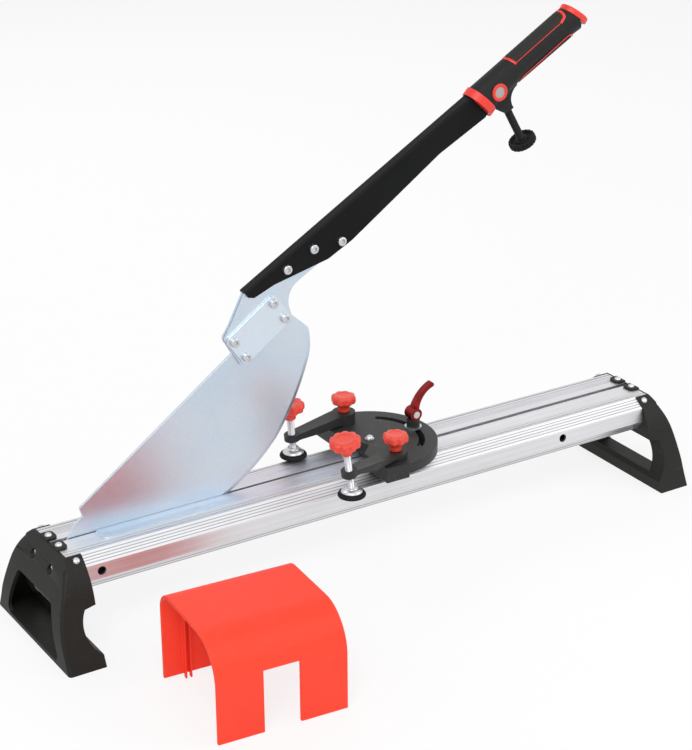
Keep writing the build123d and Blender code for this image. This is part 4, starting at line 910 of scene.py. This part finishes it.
class Workbench:
    """Hands pieces and CAD nodes to the frame, dressed and riding on their bodies."""

    def __init__(self, frame: dict, shop: Shop) -> None:
        """Keep the loaded frame and the shop of finishes."""
        self.nodes: dict[str, bpy.types.Object] = frame["nodes"]
        self.shop = shop

    def body(self, node: str) -> str:
        """Name of the body that a CAD node rides on."""
        return self.nodes[node]["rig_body"]

    def dress(self, finish: Finish, *names: str) -> None:
        """Give CAD nodes, which stay shown, a finish."""
        for name in names:
            slots = self.nodes[name].data.materials
            slots.clear()
            slots.append(self.shop.material(finish))
            log.info("dressed %s in %s", name, finish.name)

    def seat_piece(
        self, piece: bpy.types.Object, finish: Finish, body: str, *stands_for: str
    ) -> None:
        """Dress a new piece and let it ride.

        Args:
            piece: the new object.
            finish: its finish.
            body: the body that it rides on.
            stands_for: CAD nodes that it replaces.
        """
        piece.data.materials.clear()
        piece.data.materials.append(self.shop.material(finish))
        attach(piece, body)
        if stands_for:
            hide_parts(*stands_for)
        log.info("piece %s rides on %s", piece.name, body)

    def soften(self, finish: Finish, rounding: Rounding | float, *names: str) -> None:
        """Replace CAD nodes by copies with rounded edges in a finish.

        Args:
            finish: their finish.
            rounding: their widths, or the narrow one alone in millimetres.
            names: the CAD nodes.
        """
        widths = rounding if isinstance(rounding, Rounding) else Rounding(rounding)
        for name in names:
            piece = merged_copy(self.nodes[name], f"{name}_soft", widths.sharp_degrees)
            widths.apply(piece)
            self.seat_piece(piece, finish, self.body(name), name)

    def melt(
        self, finish: Finish, grain_mm: float, rounds: int, name: str, change: Callable[[Points], Points]
    ) -> None:
        """Replace a CAD node by a copy whose edges and inner corners run into each other.

        Args:
            finish: its finish.
            grain_mm: size of the new mesh's faces.
            rounds: how often it is smoothed.
            name: the CAD node.
            change: moves its points first.
        """
        piece = merged_copy(self.nodes[name], f"{name}_soft")
        move_points(piece.data, change)
        remesh = piece.modifiers.new("even faces", "REMESH")
        remesh.mode = "VOXEL"
        remesh.voxel_size = grain_mm * MM
        remesh.use_smooth_shade = True
        relax = piece.modifiers.new("relaxed", "SMOOTH")
        relax.factor = 0.5
        relax.iterations = rounds
        self.seat_piece(piece, finish, self.body(name), name)

    def extent(self, node: str, seat: Seat) -> Triple:
        """How far a CAD node reaches along a seat's axis, and its radius about it.

        Args:
            node: the node's name.
            seat: the axis.

        Returns:
            Its lowest and highest place on the axis, and its radius.
        """
        local = read_rows(self.nodes[node].data.vertices, "co", 3) - np.array(seat.origin)
        axis = np.array(seat.along)
        height = local @ axis
        radius = np.linalg.norm(local - height[:, None] * axis, axis=1)
        return float(height.min()), float(height.max()), float(radius.max())

    def middle(self, node: str) -> Pair:
        """Middle of a CAD node across the bed."""
        low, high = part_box(node)
        return (low.x + high.x) / 2, (low.y + high.y) / 2


# Sub-assemblies
@dataclass
class Bench:
    """The two rails, their feet, the anvil plates and what holds them together."""

    bench: Workbench
    rails: tuple[str, ...] = ("rail_front", "rail_rear")
    feet: tuple[str, ...] = ("pivot_foot", "far_foot")
    anvils: tuple[str, ...] = ("anvil_plate_front", "anvil_plate_rear")
    foot_edge_mm: float = 3.4
    foot_edge_top: float = 0.094
    fasteners: tuple[str, ...] = (
        "anvil_screws", "foot_tab_screws", "foot_side_screws", "pivot_bolt", "pivot_nut", "pivot_washers",
        "tie_bolt", "tie_nut", "tie_bush", "gauge_slot_nut", "lock_slot_nut",
    )
    end_head_mm: Pair = (3.9, 2.4)
    end_shank_mm: Pair = (2.0, 9.0)
    end_collar_share: float = 0.82
    end_rise_mm: float = 7.2

    def build(self) -> None:
        """Dress the bench."""
        self.bench.soften(ALUMINIUM, 0.3, *self.rails)
        for foot, outwards in zip(self.feet, (-1.0, 1.0)):
            edges = Rounding(0.7, self.foot_edge_mm, (outwards, 0.0, 0.0), 0.001, self.foot_edge_top)
            self.bench.soften(FOOT_BLACK, edges, foot)
        self.bench.soften(ZINC, 0.25, *self.anvils)
        self.bench.dress(BRIGHT, *self.fasteners)
        self.build_end_screws()

    def build_end_screws(self) -> None:
        """The four screws of the end pockets, on collars that bring the heads near the mouths."""
        name = "foot_end_screws"
        low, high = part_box(name)
        (radius, height), (shank, depth) = np.array([self.end_head_mm, self.end_shank_mm]) * MM
        collar, rise = self.end_collar_share * radius, self.end_rise_mm * MM
        profile = np.array([
            (0, -depth), (shank, -depth), (shank, 0), (collar, 0), (collar, rise - height),
            (radius, rise - height), (radius, rise - 0.5 * height), (0.8 * radius, rise - 0.15 * height),
            (0.4 * radius, rise), (0, rise),
        ])
        grids = [
            turned(profile, Seat((x, y, (low.z + high.z) / 2), (0.0, 1.0, 0.0), (outwards, 0.0, 0.0)), 32)
            for x, outwards in ((low.x + height, -1.0), (high.x - height, 1.0))
            for y in (low.y + radius, high.y - radius)
        ]
        piece = surface(f"{name}_collared", np.stack(grids))
        self.bench.seat_piece(piece, BRIGHT, self.bench.body(name), name)


@dataclass
class PanelSupport:
    """The loose moulded stand for the panel's free end."""

    bench: Workbench

    def build(self) -> None:
        """Dress the stand."""
        self.bench.soften(SUPPORT_RED, 1.0, "panel_support")


@dataclass
class SwingFrame:
    """The level drawing of the blade and arm, raised about the pivot."""

    pivot: Triple = (0.039, 0.0, 0.086)
    tilt: float = math.radians(29.5)

    @property
    def along(self) -> Points:
        """Direction of the arm."""
        return np.array([math.cos(self.tilt), 0.0, math.sin(self.tilt)])

    @property
    def up(self) -> Points:
        """Direction square to the arm, in its swing plane."""
        return np.array([-math.sin(self.tilt), 0.0, math.cos(self.tilt)])

    def carry(self, along_mm: Points, up_mm: Points, y_mm: Points) -> Points:
        """Carry points of the level drawing to the frame: pivot + along * s + up * t, at their own y."""
        shape = np.broadcast_shapes(np.shape(along_mm), np.shape(up_mm), np.shape(y_mm))
        s, t, y = (np.broadcast_to(v, shape)[..., None] * MM for v in (along_mm, up_mm, y_mm))
        return np.array(self.pivot) + s * self.along + t * self.up + y * np.array([0.0, 1.0, 0.0])

    def seat(self, along_mm: float, up_mm: float, y_mm: float = 0.0, axis: str = "up") -> Seat:
        """A seat in the level drawing whose axis points up from the arm, or to the front.

        Args:
            along_mm, up_mm, y_mm: the place.
            axis: "up" or "front".

        Returns:
            The seat.
        """
        origin = tuple(self.carry(np.array(along_mm), np.array(up_mm), np.array(y_mm)).tolist())
        direction = self.up if axis == "up" else np.array([0.0, -1.0, 0.0])
        return Seat(origin, tuple(self.along.tolist()), tuple(direction.tolist()))


@dataclass
class BladeAndArm:
    """The shear blade, its brackets and joint plates, and the folded arm."""

    bench: Workbench
    swing: SwingFrame
    fold_mm: float = 2.4
    brackets: tuple[str, ...] = ("bracket_front", "bracket_rear")
    joint_plates: tuple[str, ...] = ("joint_plate_front", "joint_plate_rear")
    fasteners: tuple[str, ...] = ("joint_bolts", "joint_nuts", "arm_bolts", "arm_nuts", "arm_spacers")

    def build(self) -> None:
        """Dress the blade and the arm."""
        self.bench.soften(ZINC, 0.2, "blade")
        self.bench.soften(ZINC, 0.3, *self.brackets)
        self.bench.soften(JOINT_ZINC, 0.7, *self.joint_plates)
        fold = Rounding(0.4, self.fold_mm, tuple(self.swing.up.tolist()))
        self.bench.soften(SATIN_BLACK, fold, "arm_channel")
        self.bench.dress(BRIGHT, *self.fasteners)


@dataclass
class Grip:
    """The oval handle with its red rings, inlaid panels, plain badge and stop."""

    bench: Workbench
    swing: SwingFrame
    stations_mm: tuple[tuple[float, float, float, float], ...] = (
        (626.0, 106.2, 18.2, 15.4), (668.0, 109.8, 15.9, 13.6), (765.5, 111.7, 16.4, 14.2),
    )
    post_radius_mm: float = 4.4
    post_pitch_mm: float = 1.5
    stop_along_mm: float = 648.0
    stop_bottom_mm: float = 26.5
    stop_radius_mm: float = 15.5
    stop_height_mm: float = 8.0
    stop_notches: int = 20
    notch_depth_mm: float = 1.2
    post_sink_mm: float = 8.0
    lug_bottom_mm: float = 74.5
    badge_place_mm: Pair = (642.3, 107.0)
    badge_radius_mm: float = 9.6
    badge_core_mm: float = 6.0
    collar_lean: float = 17.0
    collar_growth_mm: float = 1.3
    collar_overlap_mm: float = 1.0
    foot_depth_mm: float = 0.5
    mean_radius_mm: float = 15.0
    strip_section: tuple[Pair, ...] = (
        (-0.5, -0.6), (-0.5, 0.35), (-0.32, 1.0), (0.32, 1.0), (0.5, 0.35), (0.5, -0.6), (0.3, -0.6),
        (-0.3, -0.6),
    )
    strip_height_mm: float = 0.4
    panel_rise_mm: float = 0.28
    panel_sink_mm: float = 0.05
    panel_depth_mm: float = 0.6
    panel_steps: tuple[int, int] = (90, 150)
    stud_rise_mm: float = 0.22
    stud_pitch_mm: float = 2.6
    upper_line: tuple[Pair, Pair] = ((676.5, 0.65), (746.0, 0.69))
    lower_line: tuple[Pair, Pair] = ((679.0, -0.62), (745.5, -0.46))

    def skin(self, along_mm: Points, angle: Points, proud_mm: Points | float = 0.0) -> Points:
        """Points on the handle's skin.

        A section is an ellipse: up = centre + depth sin a, y = -breadth cos a, with the centre, depth and
        breadth drawn between the stations by their place along the handle.

        Args:
            along_mm: places along the handle.
            angle: angle of each point, 0 in front and a quarter turn on top.
            proud_mm: how far the points stand off the skin.

        Returns:
            The points in the frame.
        """
        table = np.array(self.stations_mm)
        centre, depth, breadth = (np.interp(along_mm, table[:, 0], column) for column in table[:, 1:].T)
        up = centre + (depth + proud_mm) * np.sin(angle)
        return self.swing.carry(along_mm, up, -(breadth + proud_mm) * np.cos(angle))

    def fit(self, piece: bpy.types.Object, finish: Finish, *stands_for: str) -> None:
        """Dress a piece of the handle and let it ride on the arm."""
        self.bench.seat_piece(piece, finish, "blade_arm", *stands_for)

    def band(self, name: str, path: Points, width_mm: float) -> bpy.types.Object:
        """A raised line on the handle.

        The path's points are (along, arc length round the section). The strip's rows step across it on the
        path's normal, with its edges sunk below the skin and its crown proud of it.

        Args:
            name: the piece's name.
            path: the path on the unrolled skin, in millimetres.
            width_mm: the strip's width.

        Returns:
            The strip.
        """
        steps = np.gradient(path, axis=0)
        normal = np.stack([-steps[:, 1], steps[:, 0]], axis=1)
        normal /= np.linalg.norm(normal, axis=1, keepdims=True)
        offsets, heights = np.array(self.strip_section).T
        flat = path[:, None, :] + normal[:, None, :] * (offsets * width_mm)[None, :, None]
        proud = (heights * self.strip_height_mm)[None, :]
        grid = self.skin(flat[..., 0], flat[..., 1] / self.mean_radius_mm, proud)
        ends = grid.mean(axis=1, keepdims=True).repeat(grid.shape[1], axis=1)
        return surface(name, np.concatenate([ends[:1], grid, ends[-1:]]), sharp_degrees=50.0)

    def insert(self, name: str, low: Points, high: Points, around: Pair) -> bpy.types.Object:
        """A textured panel let into the handle.

        Its ends run from low to high at each angle, and rows of small round studs, the product of two
        cosines cut off at 0, stand on it.

        Args:
            name: the piece's name.
            low, high: where the panel starts and ends at each of its angles.
            around: its first and last angle.

        Returns:
            The panel.
        """
        angles = np.linspace(*around, len(low))[:, None]
        share = np.linspace(0, 1, self.panel_steps[1])[None, :]
        along = low[:, None] * (1 - share) + high[:, None] * share
        waves = FULL_TURN / self.stud_pitch_mm
        studs = np.clip(np.cos(along * waves) * np.cos(angles * self.mean_radius_mm * waves), 0, 1)
        edge = np.minimum(np.minimum(share, 1 - share) * 60, 1)
        rim = np.minimum(np.minimum(angles - angles[0], angles[-1] - angles) / 0.05, 1)
        proud = self.panel_rise_mm * edge * rim + self.stud_rise_mm * studs * edge - self.panel_sink_mm
        top = self.skin(along, angles, proud)
        floor = self.skin(along, angles, -self.panel_depth_mm)
        grid = np.concatenate([floor[::-1], top, floor[-1:]])
        return surface(name, grid, wrap=False, sharp_degrees=60.0)

    def build(self) -> None:
        """Dress the handle and build its trim."""
        self.bench.melt(GRIP_BLACK, 0.7, 8, "grip", self.meet_collar)
        self.bench.soften(TRIM_RED, 0.8, "grip_end_cap")
        self.build_collar()
        self.build_trim()
        self.build_badge()
        self.build_stop()

    def meet_collar(self, points: Points) -> Points:
        """Draw the handle's foot out to the leaning collar.

        With s along the arm and t up from the handle's middle, the foot's points have s = 0 above the
        middle and s = -t tan(lean) below it. They move back by the overlap, and above the middle by
        t tan(lean) too.

        Args:
            points: the handle's points.

        Returns:
            The points with the foot drawn out.
        """
        foot, middle = self.stations_mm[0][:2]
        local = (points - np.array(self.swing.pivot)) / MM
        along, up = local @ self.swing.along - foot, local @ self.swing.up - middle
        fall = up * math.tan(math.radians(self.collar_lean))
        at_foot = along + np.minimum(fall, 0) < self.foot_depth_mm
        back = np.where(at_foot, np.maximum(fall, 0) + self.collar_overlap_mm, 0)
        return points - back[:, None] * MM * self.swing.along

    def thicken_collar(self, points: Points) -> Points:
        """Thicken the collar both ways: a point moves by growth * sign((p - middle) . a) along its axis a.

        Args:
            points: the collar's points.

        Returns:
            The points of the thicker collar.
        """
        lean = math.radians(self.collar_lean)
        axis = math.cos(lean) * self.swing.along + math.sin(lean) * self.swing.up
        height = (points - points.mean(axis=0)) @ axis
        return points + np.sign(height)[:, None] * axis * self.collar_growth_mm * MM

    def build_collar(self) -> None:
        """The red ring at the handle's foot."""
        piece = merged_copy(self.bench.nodes["grip_collar"], "grip_collar_soft")
        move_points(piece.data, self.thicken_collar)
        Rounding(1.4).apply(piece)
        self.fit(piece, TRIM_RED, "grip_collar")

    def line(self, name: str, corners: list[Pair], width_mm: float) -> None:
        """One red line on the handle.

        Args:
            name: the piece's name.
            corners: its corners as places along the handle and arc lengths round it.
            width_mm: how wide it is.
        """
        points = np.array(corners)
        fine = smooth_corners(points, 2.5, 6) if len(points) > 2 else points
        distance = np.concatenate([[0], np.cumsum(np.linalg.norm(np.diff(fine, axis=0), axis=1))])
        even = np.linspace(0, distance[-1], max(12, int(distance[-1])))
        path = np.stack([np.interp(even, distance, fine[:, k]) for k in (0, 1)], axis=1)
        self.fit(self.band(name, path, width_mm), TRIM_RED)

    def build_trim(self) -> None:
        """The red lines and the dark studded panels, upper and lower, the same on both sides."""
        reach, top = self.mean_radius_mm, math.pi / 2
        (start, low_angle), (end, high_angle) = self.upper_line
        (low_start, low_from), (low_end, low_to) = self.lower_line
        for side, mirror in (("front", 1), ("rear", -1)):
            def arc(angle: float, mirror: int = mirror) -> float:
                """Arc length of an angle on this side."""
                return reach * (angle if mirror == 1 else math.pi - angle)

            lines = {
                "upper": ([(start, arc(low_angle)), (end, arc(high_angle))], 0.9),
                "upper_start": ([(start - 0.6, arc(low_angle - 0.05)), (start - 4.2, arc(top))], 3.0),
                "upper_end": ([
                    (end - 1.5, arc(high_angle)), (end + 6.6, arc(high_angle + 0.16)),
                    (end + 8.0, arc(1.25)), (end + 7.8, arc(top)),
                ], 3.0),
                "lower": ([(low_start, arc(low_from)), (low_end, arc(low_to))], 0.9),
                "lower_start": ([
                    (low_start + 1.2, arc(low_from)), (low_start - 4.0, arc(low_from - 0.12)),
                    (low_start - 6.0, arc(low_from - 0.6)),
                ], 1.5),
                "lower_end": ([
                    (low_end - 1.2, arc(low_to)), (low_end + 4.4, arc(low_to - 0.1)),
                    (low_end + 7.0, arc(low_to - 0.6)),
                ], 1.5),
            }
            for label, (corners, width) in lines.items():
                self.line(f"grip_line_{label}_{side}", corners, width)
        count = self.panel_steps[0]
        angles = np.linspace(low_angle + 0.04, math.pi - low_angle - 0.04, count)
        near = np.abs(angles - top) / (top - low_angle)
        first, last = start - 3.4 + 2.7 * near, end + 6.6 - 6.0 * near ** 3
        self.fit(self.insert("grip_panel_upper", first, last, (angles[0], angles[-1])), GRIP_DARK)
        angles = np.linspace(math.pi - low_from + 0.04, FULL_TURN + low_from - 0.04, count)
        depth = 1 - np.clip((np.abs(angles - 1.5 * math.pi) - 0.55) / (top + low_from - 0.59), 0, 1)
        first, last = low_start + 1.0 - 6.4 * depth ** 0.5, low_end - 1.0 + 7.4 * depth ** 0.5
        self.fit(self.insert("grip_panel_lower", first, last, (angles[0], angles[-1])), GRIP_DARK)

    def build_badge(self) -> None:
        """A plain red ring round a plain paler disc."""
        low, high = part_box("grip_badge")
        seat = self.swing.seat(*self.badge_place_mm, high.y / MM, "front")
        rise = (high.y - low.y) / MM
        r, hole = self.badge_radius_mm, self.badge_core_mm
        ring = np.array([
            (hole, 0), (r, 0), (r, rise - 0.5), (0.94 * r, rise), (1.1 * hole, rise), (hole, rise - 0.6),
            (hole, 0),
        ]) * MM
        ring = np.vstack([ring[:1], smooth_corners(ring, 0.5 * MM), ring[-1:]])
        self.fit(surface("grip_badge_ring", turned(ring, seat)), TRIM_RED, "grip_badge")
        core = np.array([
            (0, 0), (1.02 * hole, 0), (1.02 * hole, rise - 0.9), (0.5 * hole, rise - 0.7), (0, rise - 0.65),
        ]) * MM
        self.fit(surface("grip_badge_core", turned(core, seat)), BADGE_GREY)

    def build_stop(self) -> None:
        """The threaded post and the ribbed foot that meets the bench when the blade is down."""
        seat = self.swing.seat(self.stop_along_mm, self.stop_bottom_mm)
        length = (self.lug_bottom_mm - self.stop_bottom_mm + self.post_sink_mm) * MM
        thread = Thread(self.post_radius_mm * MM, self.post_pitch_mm * MM, length)
        piece = surface("stop_post_thread", thread.grid(seat), sharp_degrees=THREAD_SHARP_DEGREES)
        self.fit(piece, POST_BLACK, "stop_post")
        r, h = self.stop_radius_mm, self.stop_height_mm
        corners = np.array([
            (0, 0), (0.9 * r, 0), (r, 0.14 * h), (r, 0.86 * h), (0.93 * r, h), (0.80 * r, h),
            (0.74 * r, 0.62 * h), (0.52 * r, 0.62 * h), (0.46 * r, 0.92 * h), (0.32 * r, h), (0, h),
        ]) * MM

        def ribbed(radius: Points, angle: Points) -> Points:
            """Cut finger notches into the rim: r - depth * w * (0.5 + 0.5 cos(n a)) ^ 2."""
            weight = np.clip((radius / (r * MM) - 0.88) / 0.1, 0, 1)
            wave = (0.5 + 0.5 * np.cos(self.stop_notches * angle)) ** 2
            return radius - self.notch_depth_mm * MM * weight * wave

        piece = surface("stop_foot", turned(smooth_corners(corners, 0.6 * MM), seat, 160, ribbed))
        self.fit(piece, RUBBER, "stop_disc")


class Side(Enum):
    """The two clamps, in front of the blade's slot and behind it."""

    FRONT = "front"
    REAR = "rear"


@dataclass
class Clamp:
    """One screw clamp on the gauge: arm, lock knob, leaning screw with its knob, and swivelling pad."""

    bench: Workbench
    side: Side
    heading: float
    lean: float
    screw_pitch_mm: float = 1.25
    stem_radius_mm: float = 6.5
    stem_length_mm: float = 7.0

    def node(self, part: str) -> str:
        """Name of this clamp's CAD node."""
        return f"{self.side.value}_{part}"

    @property
    def screw_seat(self) -> Seat:
        """The screw's axis, from the top of the rubber."""
        x, y = self.bench.middle(self.node("pad_rubber"))
        return Seat.leaning((x, y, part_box(self.node("pad_rubber"))[1].z), self.heading, self.lean)

    @property
    def lock_seat(self) -> Seat:
        """The lock stud's upright axis, from the bed."""
        return Seat((*self.bench.middle(self.node("lock_knob")), 0.0))

    def build(self) -> None:
        """Dress the arm and build the knobs, the thread and the pad."""
        self.bench.soften(PLATE_BLACK, Rounding(0.7), self.node("clamp_arm"))
        self.bench.dress(BRIGHT, self.node("lock_stud"))
        self.build_knob("clamp_knob", 10, self.screw_seat)
        self.build_knob("lock_knob", 8, self.lock_seat)
        self.build_screw()
        self.build_pad()

    def build_knob(self, part: str, lobes: int, seat: Seat) -> None:
        """Put a lobed knob where its CAD node stands.

        Args:
            part: the node's name without its side.
            lobes: how many lobes it has.
            seat: its axis.
        """
        name = self.node(part)
        low, high, radius = self.bench.extent(name, seat)
        stem = self.stem_length_mm * MM
        knob = LobedKnob(
            radius, high - low - stem, lobes, stem_radius=self.stem_radius_mm * MM, stem_length=stem
        )
        piece = surface(f"{name}_lobed", knob.grid(seat.raised(low + stem)))
        self.bench.seat_piece(piece, KNOB_RED, self.bench.body(name), name)

    def build_screw(self) -> None:
        """The clamp's screw, with its thread."""
        seat = self.screw_seat
        name = self.node("clamp_screw")
        low, high, radius = self.bench.extent(name, seat)
        grid = Thread(radius, self.screw_pitch_mm * MM, high - low).grid(seat.raised(low))
        piece = surface(f"{name}_thread", grid, sharp_degrees=THREAD_SHARP_DEGREES)
        self.bench.seat_piece(piece, BRIGHT, self.bench.body(name), name)

    def build_pad(self) -> None:
        """The rubber ring and the domed metal cup that it holds."""
        self.turn_pad("pad_rubber", "pad_ring", RUBBER, 0.9, [
            (0, 0), (0.9, 0), (1, 0.2), (1, 0.55), (0.9, 1), (0.78, 1), (0.77, 0.8), (0, 0.8),
        ])
        self.turn_pad("pad_cup", "pad_dome", BRIGHT, 0.8, [
            (0, 0), (0.98, 0), (1, 0.1), (0.93, 0.34), (0.72, 0.58), (0.56, 0.68), (0.55, 1), (0.46, 1),
            (0.44, 0.7), (0, 0.7),
        ])

    def turn_pad(
        self, part: str, label: str, finish: Finish, corner_mm: float, shares: list[Pair]
    ) -> None:
        """One turned piece of the pad, upright over its middle.

        Args:
            part: the node's name without its side.
            label: the piece's name without its side.
            finish: its finish.
            corner_mm: how far its corners are rounded.
            shares: its profile as shares of the node's radius and height.
        """
        name = self.node(part)
        low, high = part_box(name)
        size = np.array([(high.x - low.x) / 2, high.z - low.z])
        seat = Seat((*self.bench.middle(name), low.z))
        profile = smooth_corners(np.array(shares) * size, corner_mm * MM)
        piece = surface(self.node(label), turned(profile, seat, 72))
        self.bench.seat_piece(piece, finish, self.bench.body(name), name)


@dataclass
class AngleGauge:
    """The turning gauge with its fence, and the cam lever that locks it."""

    bench: Workbench
    clamps: list[Clamp]
    fasteners: tuple[str, ...] = (
        "arm_lock_nuts", "gauge_pivot_screw", "gauge_washer", "lock_stud", "lock_washer", "lock_barrel",
    )

    def build(self) -> None:
        """Dress the gauge and lever, and build the clamps."""
        self.bench.soften(PLATE_BLACK, 0.6, "gauge_plate")
        self.bench.dress(BRIGHT, *self.fasteners)
        self.bench.soften(PLATE_BLACK, 0.5, "lock_saddle")
        self.bench.soften(LEVER_RED, 0.9, "lock_lever")
        for clamp in self.clamps:
            clamp.build()


# Studio
@dataclass(frozen=True)
class Lamp:
    """One soft box: where it hangs, what it faces, its size and its power."""

    name: str
    place: Triple
    power: float
    size: float
    target: Triple = (0.38, 0.0, 0.2)
    in_reflections: bool = True

    def hang(self) -> None:
        """Make the lamp and point it at its target."""
        light = bpy.data.lights.new(self.name, "AREA")
        light.energy = self.power
        light.shape = "SQUARE"
        light.size = self.size
        lamp = show(self.name, light)
        lamp.visible_glossy = self.in_reflections
        aim = Vector(self.target) - Vector(self.place)
        turn = aim.to_track_quat("-Z", "Y").to_matrix().to_4x4()
        lamp.matrix_world = Matrix.Translation(self.place) @ turn


@dataclass
class Studio:
    """The camera that was fitted to the photograph, the pale floor, the lamps and the world."""

    camera_place: Triple = (-0.7002, -1.7162, 1.0748)
    azimuth: float = math.radians(31.7095)
    elevation: float = math.radians(23.2712)
    roll: float = math.radians(-0.4496)
    focal_pixels: float = 2037.56
    long_side_pixels: float = 750.0
    sensor_mm: float = 36.0
    clip: Pair = (0.05, 200.0)
    floor_half: float = 30.0
    floor_shade: float = 0.9
    floor_glow: float = 0.8
    ambient: float = 0.55
    lamps: tuple[Lamp, ...] = (
        Lamp("key_box", (-0.9, -1.5, 2.2), 34.0, 1.3),
        Lamp("fill_box", (1.9, -1.4, 1.5), 14.0, 1.6),
        Lamp("rear_box", (0.6, 1.9, 1.8), 16.0, 1.5, in_reflections=False),
    )

    def build(self) -> None:
        """Make the whole studio."""
        self.place_camera()
        self.lay_floor()
        self.light_world()
        for lamp in self.lamps:
            lamp.hang()
        bpy.context.scene.view_settings.view_transform = "Standard"

    def place_camera(self) -> None:
        """Stand the camera where the fit of the photograph puts it."""
        az, el, roll = self.azimuth, self.elevation, self.roll
        ahead = Vector((math.sin(az) * math.cos(el), math.cos(az) * math.cos(el), -math.sin(el)))
        right = Vector((math.cos(az), -math.sin(az), 0.0))
        up = right.cross(ahead)
        turned_right = math.cos(roll) * right + math.sin(roll) * up
        turned_up = math.cos(roll) * up - math.sin(roll) * right
        data = bpy.data.cameras.new("camera")
        data.sensor_width = self.sensor_mm
        data.lens = self.sensor_mm * self.focal_pixels / self.long_side_pixels
        data.clip_start, data.clip_end = self.clip
        camera = show("camera", data)
        columns = (turned_right, turned_up, -ahead)
        turn = Matrix([[column[row] for column in columns] for row in range(3)]).to_4x4()
        camera.matrix_world = Matrix.Translation(self.camera_place) @ turn
        bpy.context.scene.camera = camera

    def lay_floor(self) -> None:
        """A wide pale floor that keeps the shadow and looks white to the camera and in reflections."""
        half = self.floor_half
        mesh = bpy.data.meshes.new("floor")
        corners = [(-half, -half, 0), (half, -half, 0), (half, half, 0), (-half, half, 0)]
        mesh.from_pydata(corners, [], [(0, 1, 2, 3)])
        graph = Graph(bpy.data.materials.new("pale_floor"))
        share = (graph.ray("Camera") + graph.ray("Glossy")) * self.floor_glow
        cloth = graph.add("ShaderNodeBsdfDiffuse", None, {"Color": opaque(shaded(WHITE, self.floor_shade))})
        glow = graph.add("ShaderNodeEmission", None, {"Color": opaque(WHITE), "Strength": 1.0})
        mixed = graph.add("ShaderNodeMixShader", None, {0: share, 1: cloth, 2: glow})
        graph.add_output(mixed, "ShaderNodeOutputMaterial")
        mesh.materials.append(graph.owner)
        show("floor", mesh)

    def light_world(self) -> None:
        """A world that is white to the camera and in reflections, and grey as light."""
        world = bpy.data.worlds.new("studio_world")
        bpy.context.scene.world = world
        graph = Graph(world)
        seen = graph.ray("Camera").larger(graph.ray("Glossy"))
        strength = seen * (1.0 - self.ambient) + self.ambient
        sky = graph.add("ShaderNodeBackground", None, {"Color": opaque(WHITE), "Strength": strength})
        graph.add_output(sky, "ShaderNodeOutputWorld")


def main() -> None:
    """Load the frame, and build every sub-assembly in order."""
    logging.basicConfig(level=logging.INFO, format="%(message)s")
    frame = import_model()
    bench = Workbench(frame, Shop())
    Studio().build()
    swing = SwingFrame()
    Bench(bench).build()
    PanelSupport(bench).build()
    BladeAndArm(bench, swing).build()
    Grip(bench, swing).build()
    clamps = [Clamp(bench, Side.FRONT, 199.9, 10.0), Clamp(bench, Side.REAR, 192.0, 5.0)]
    AngleGauge(bench, clamps).build()


if __name__ == "__main__":
    main()
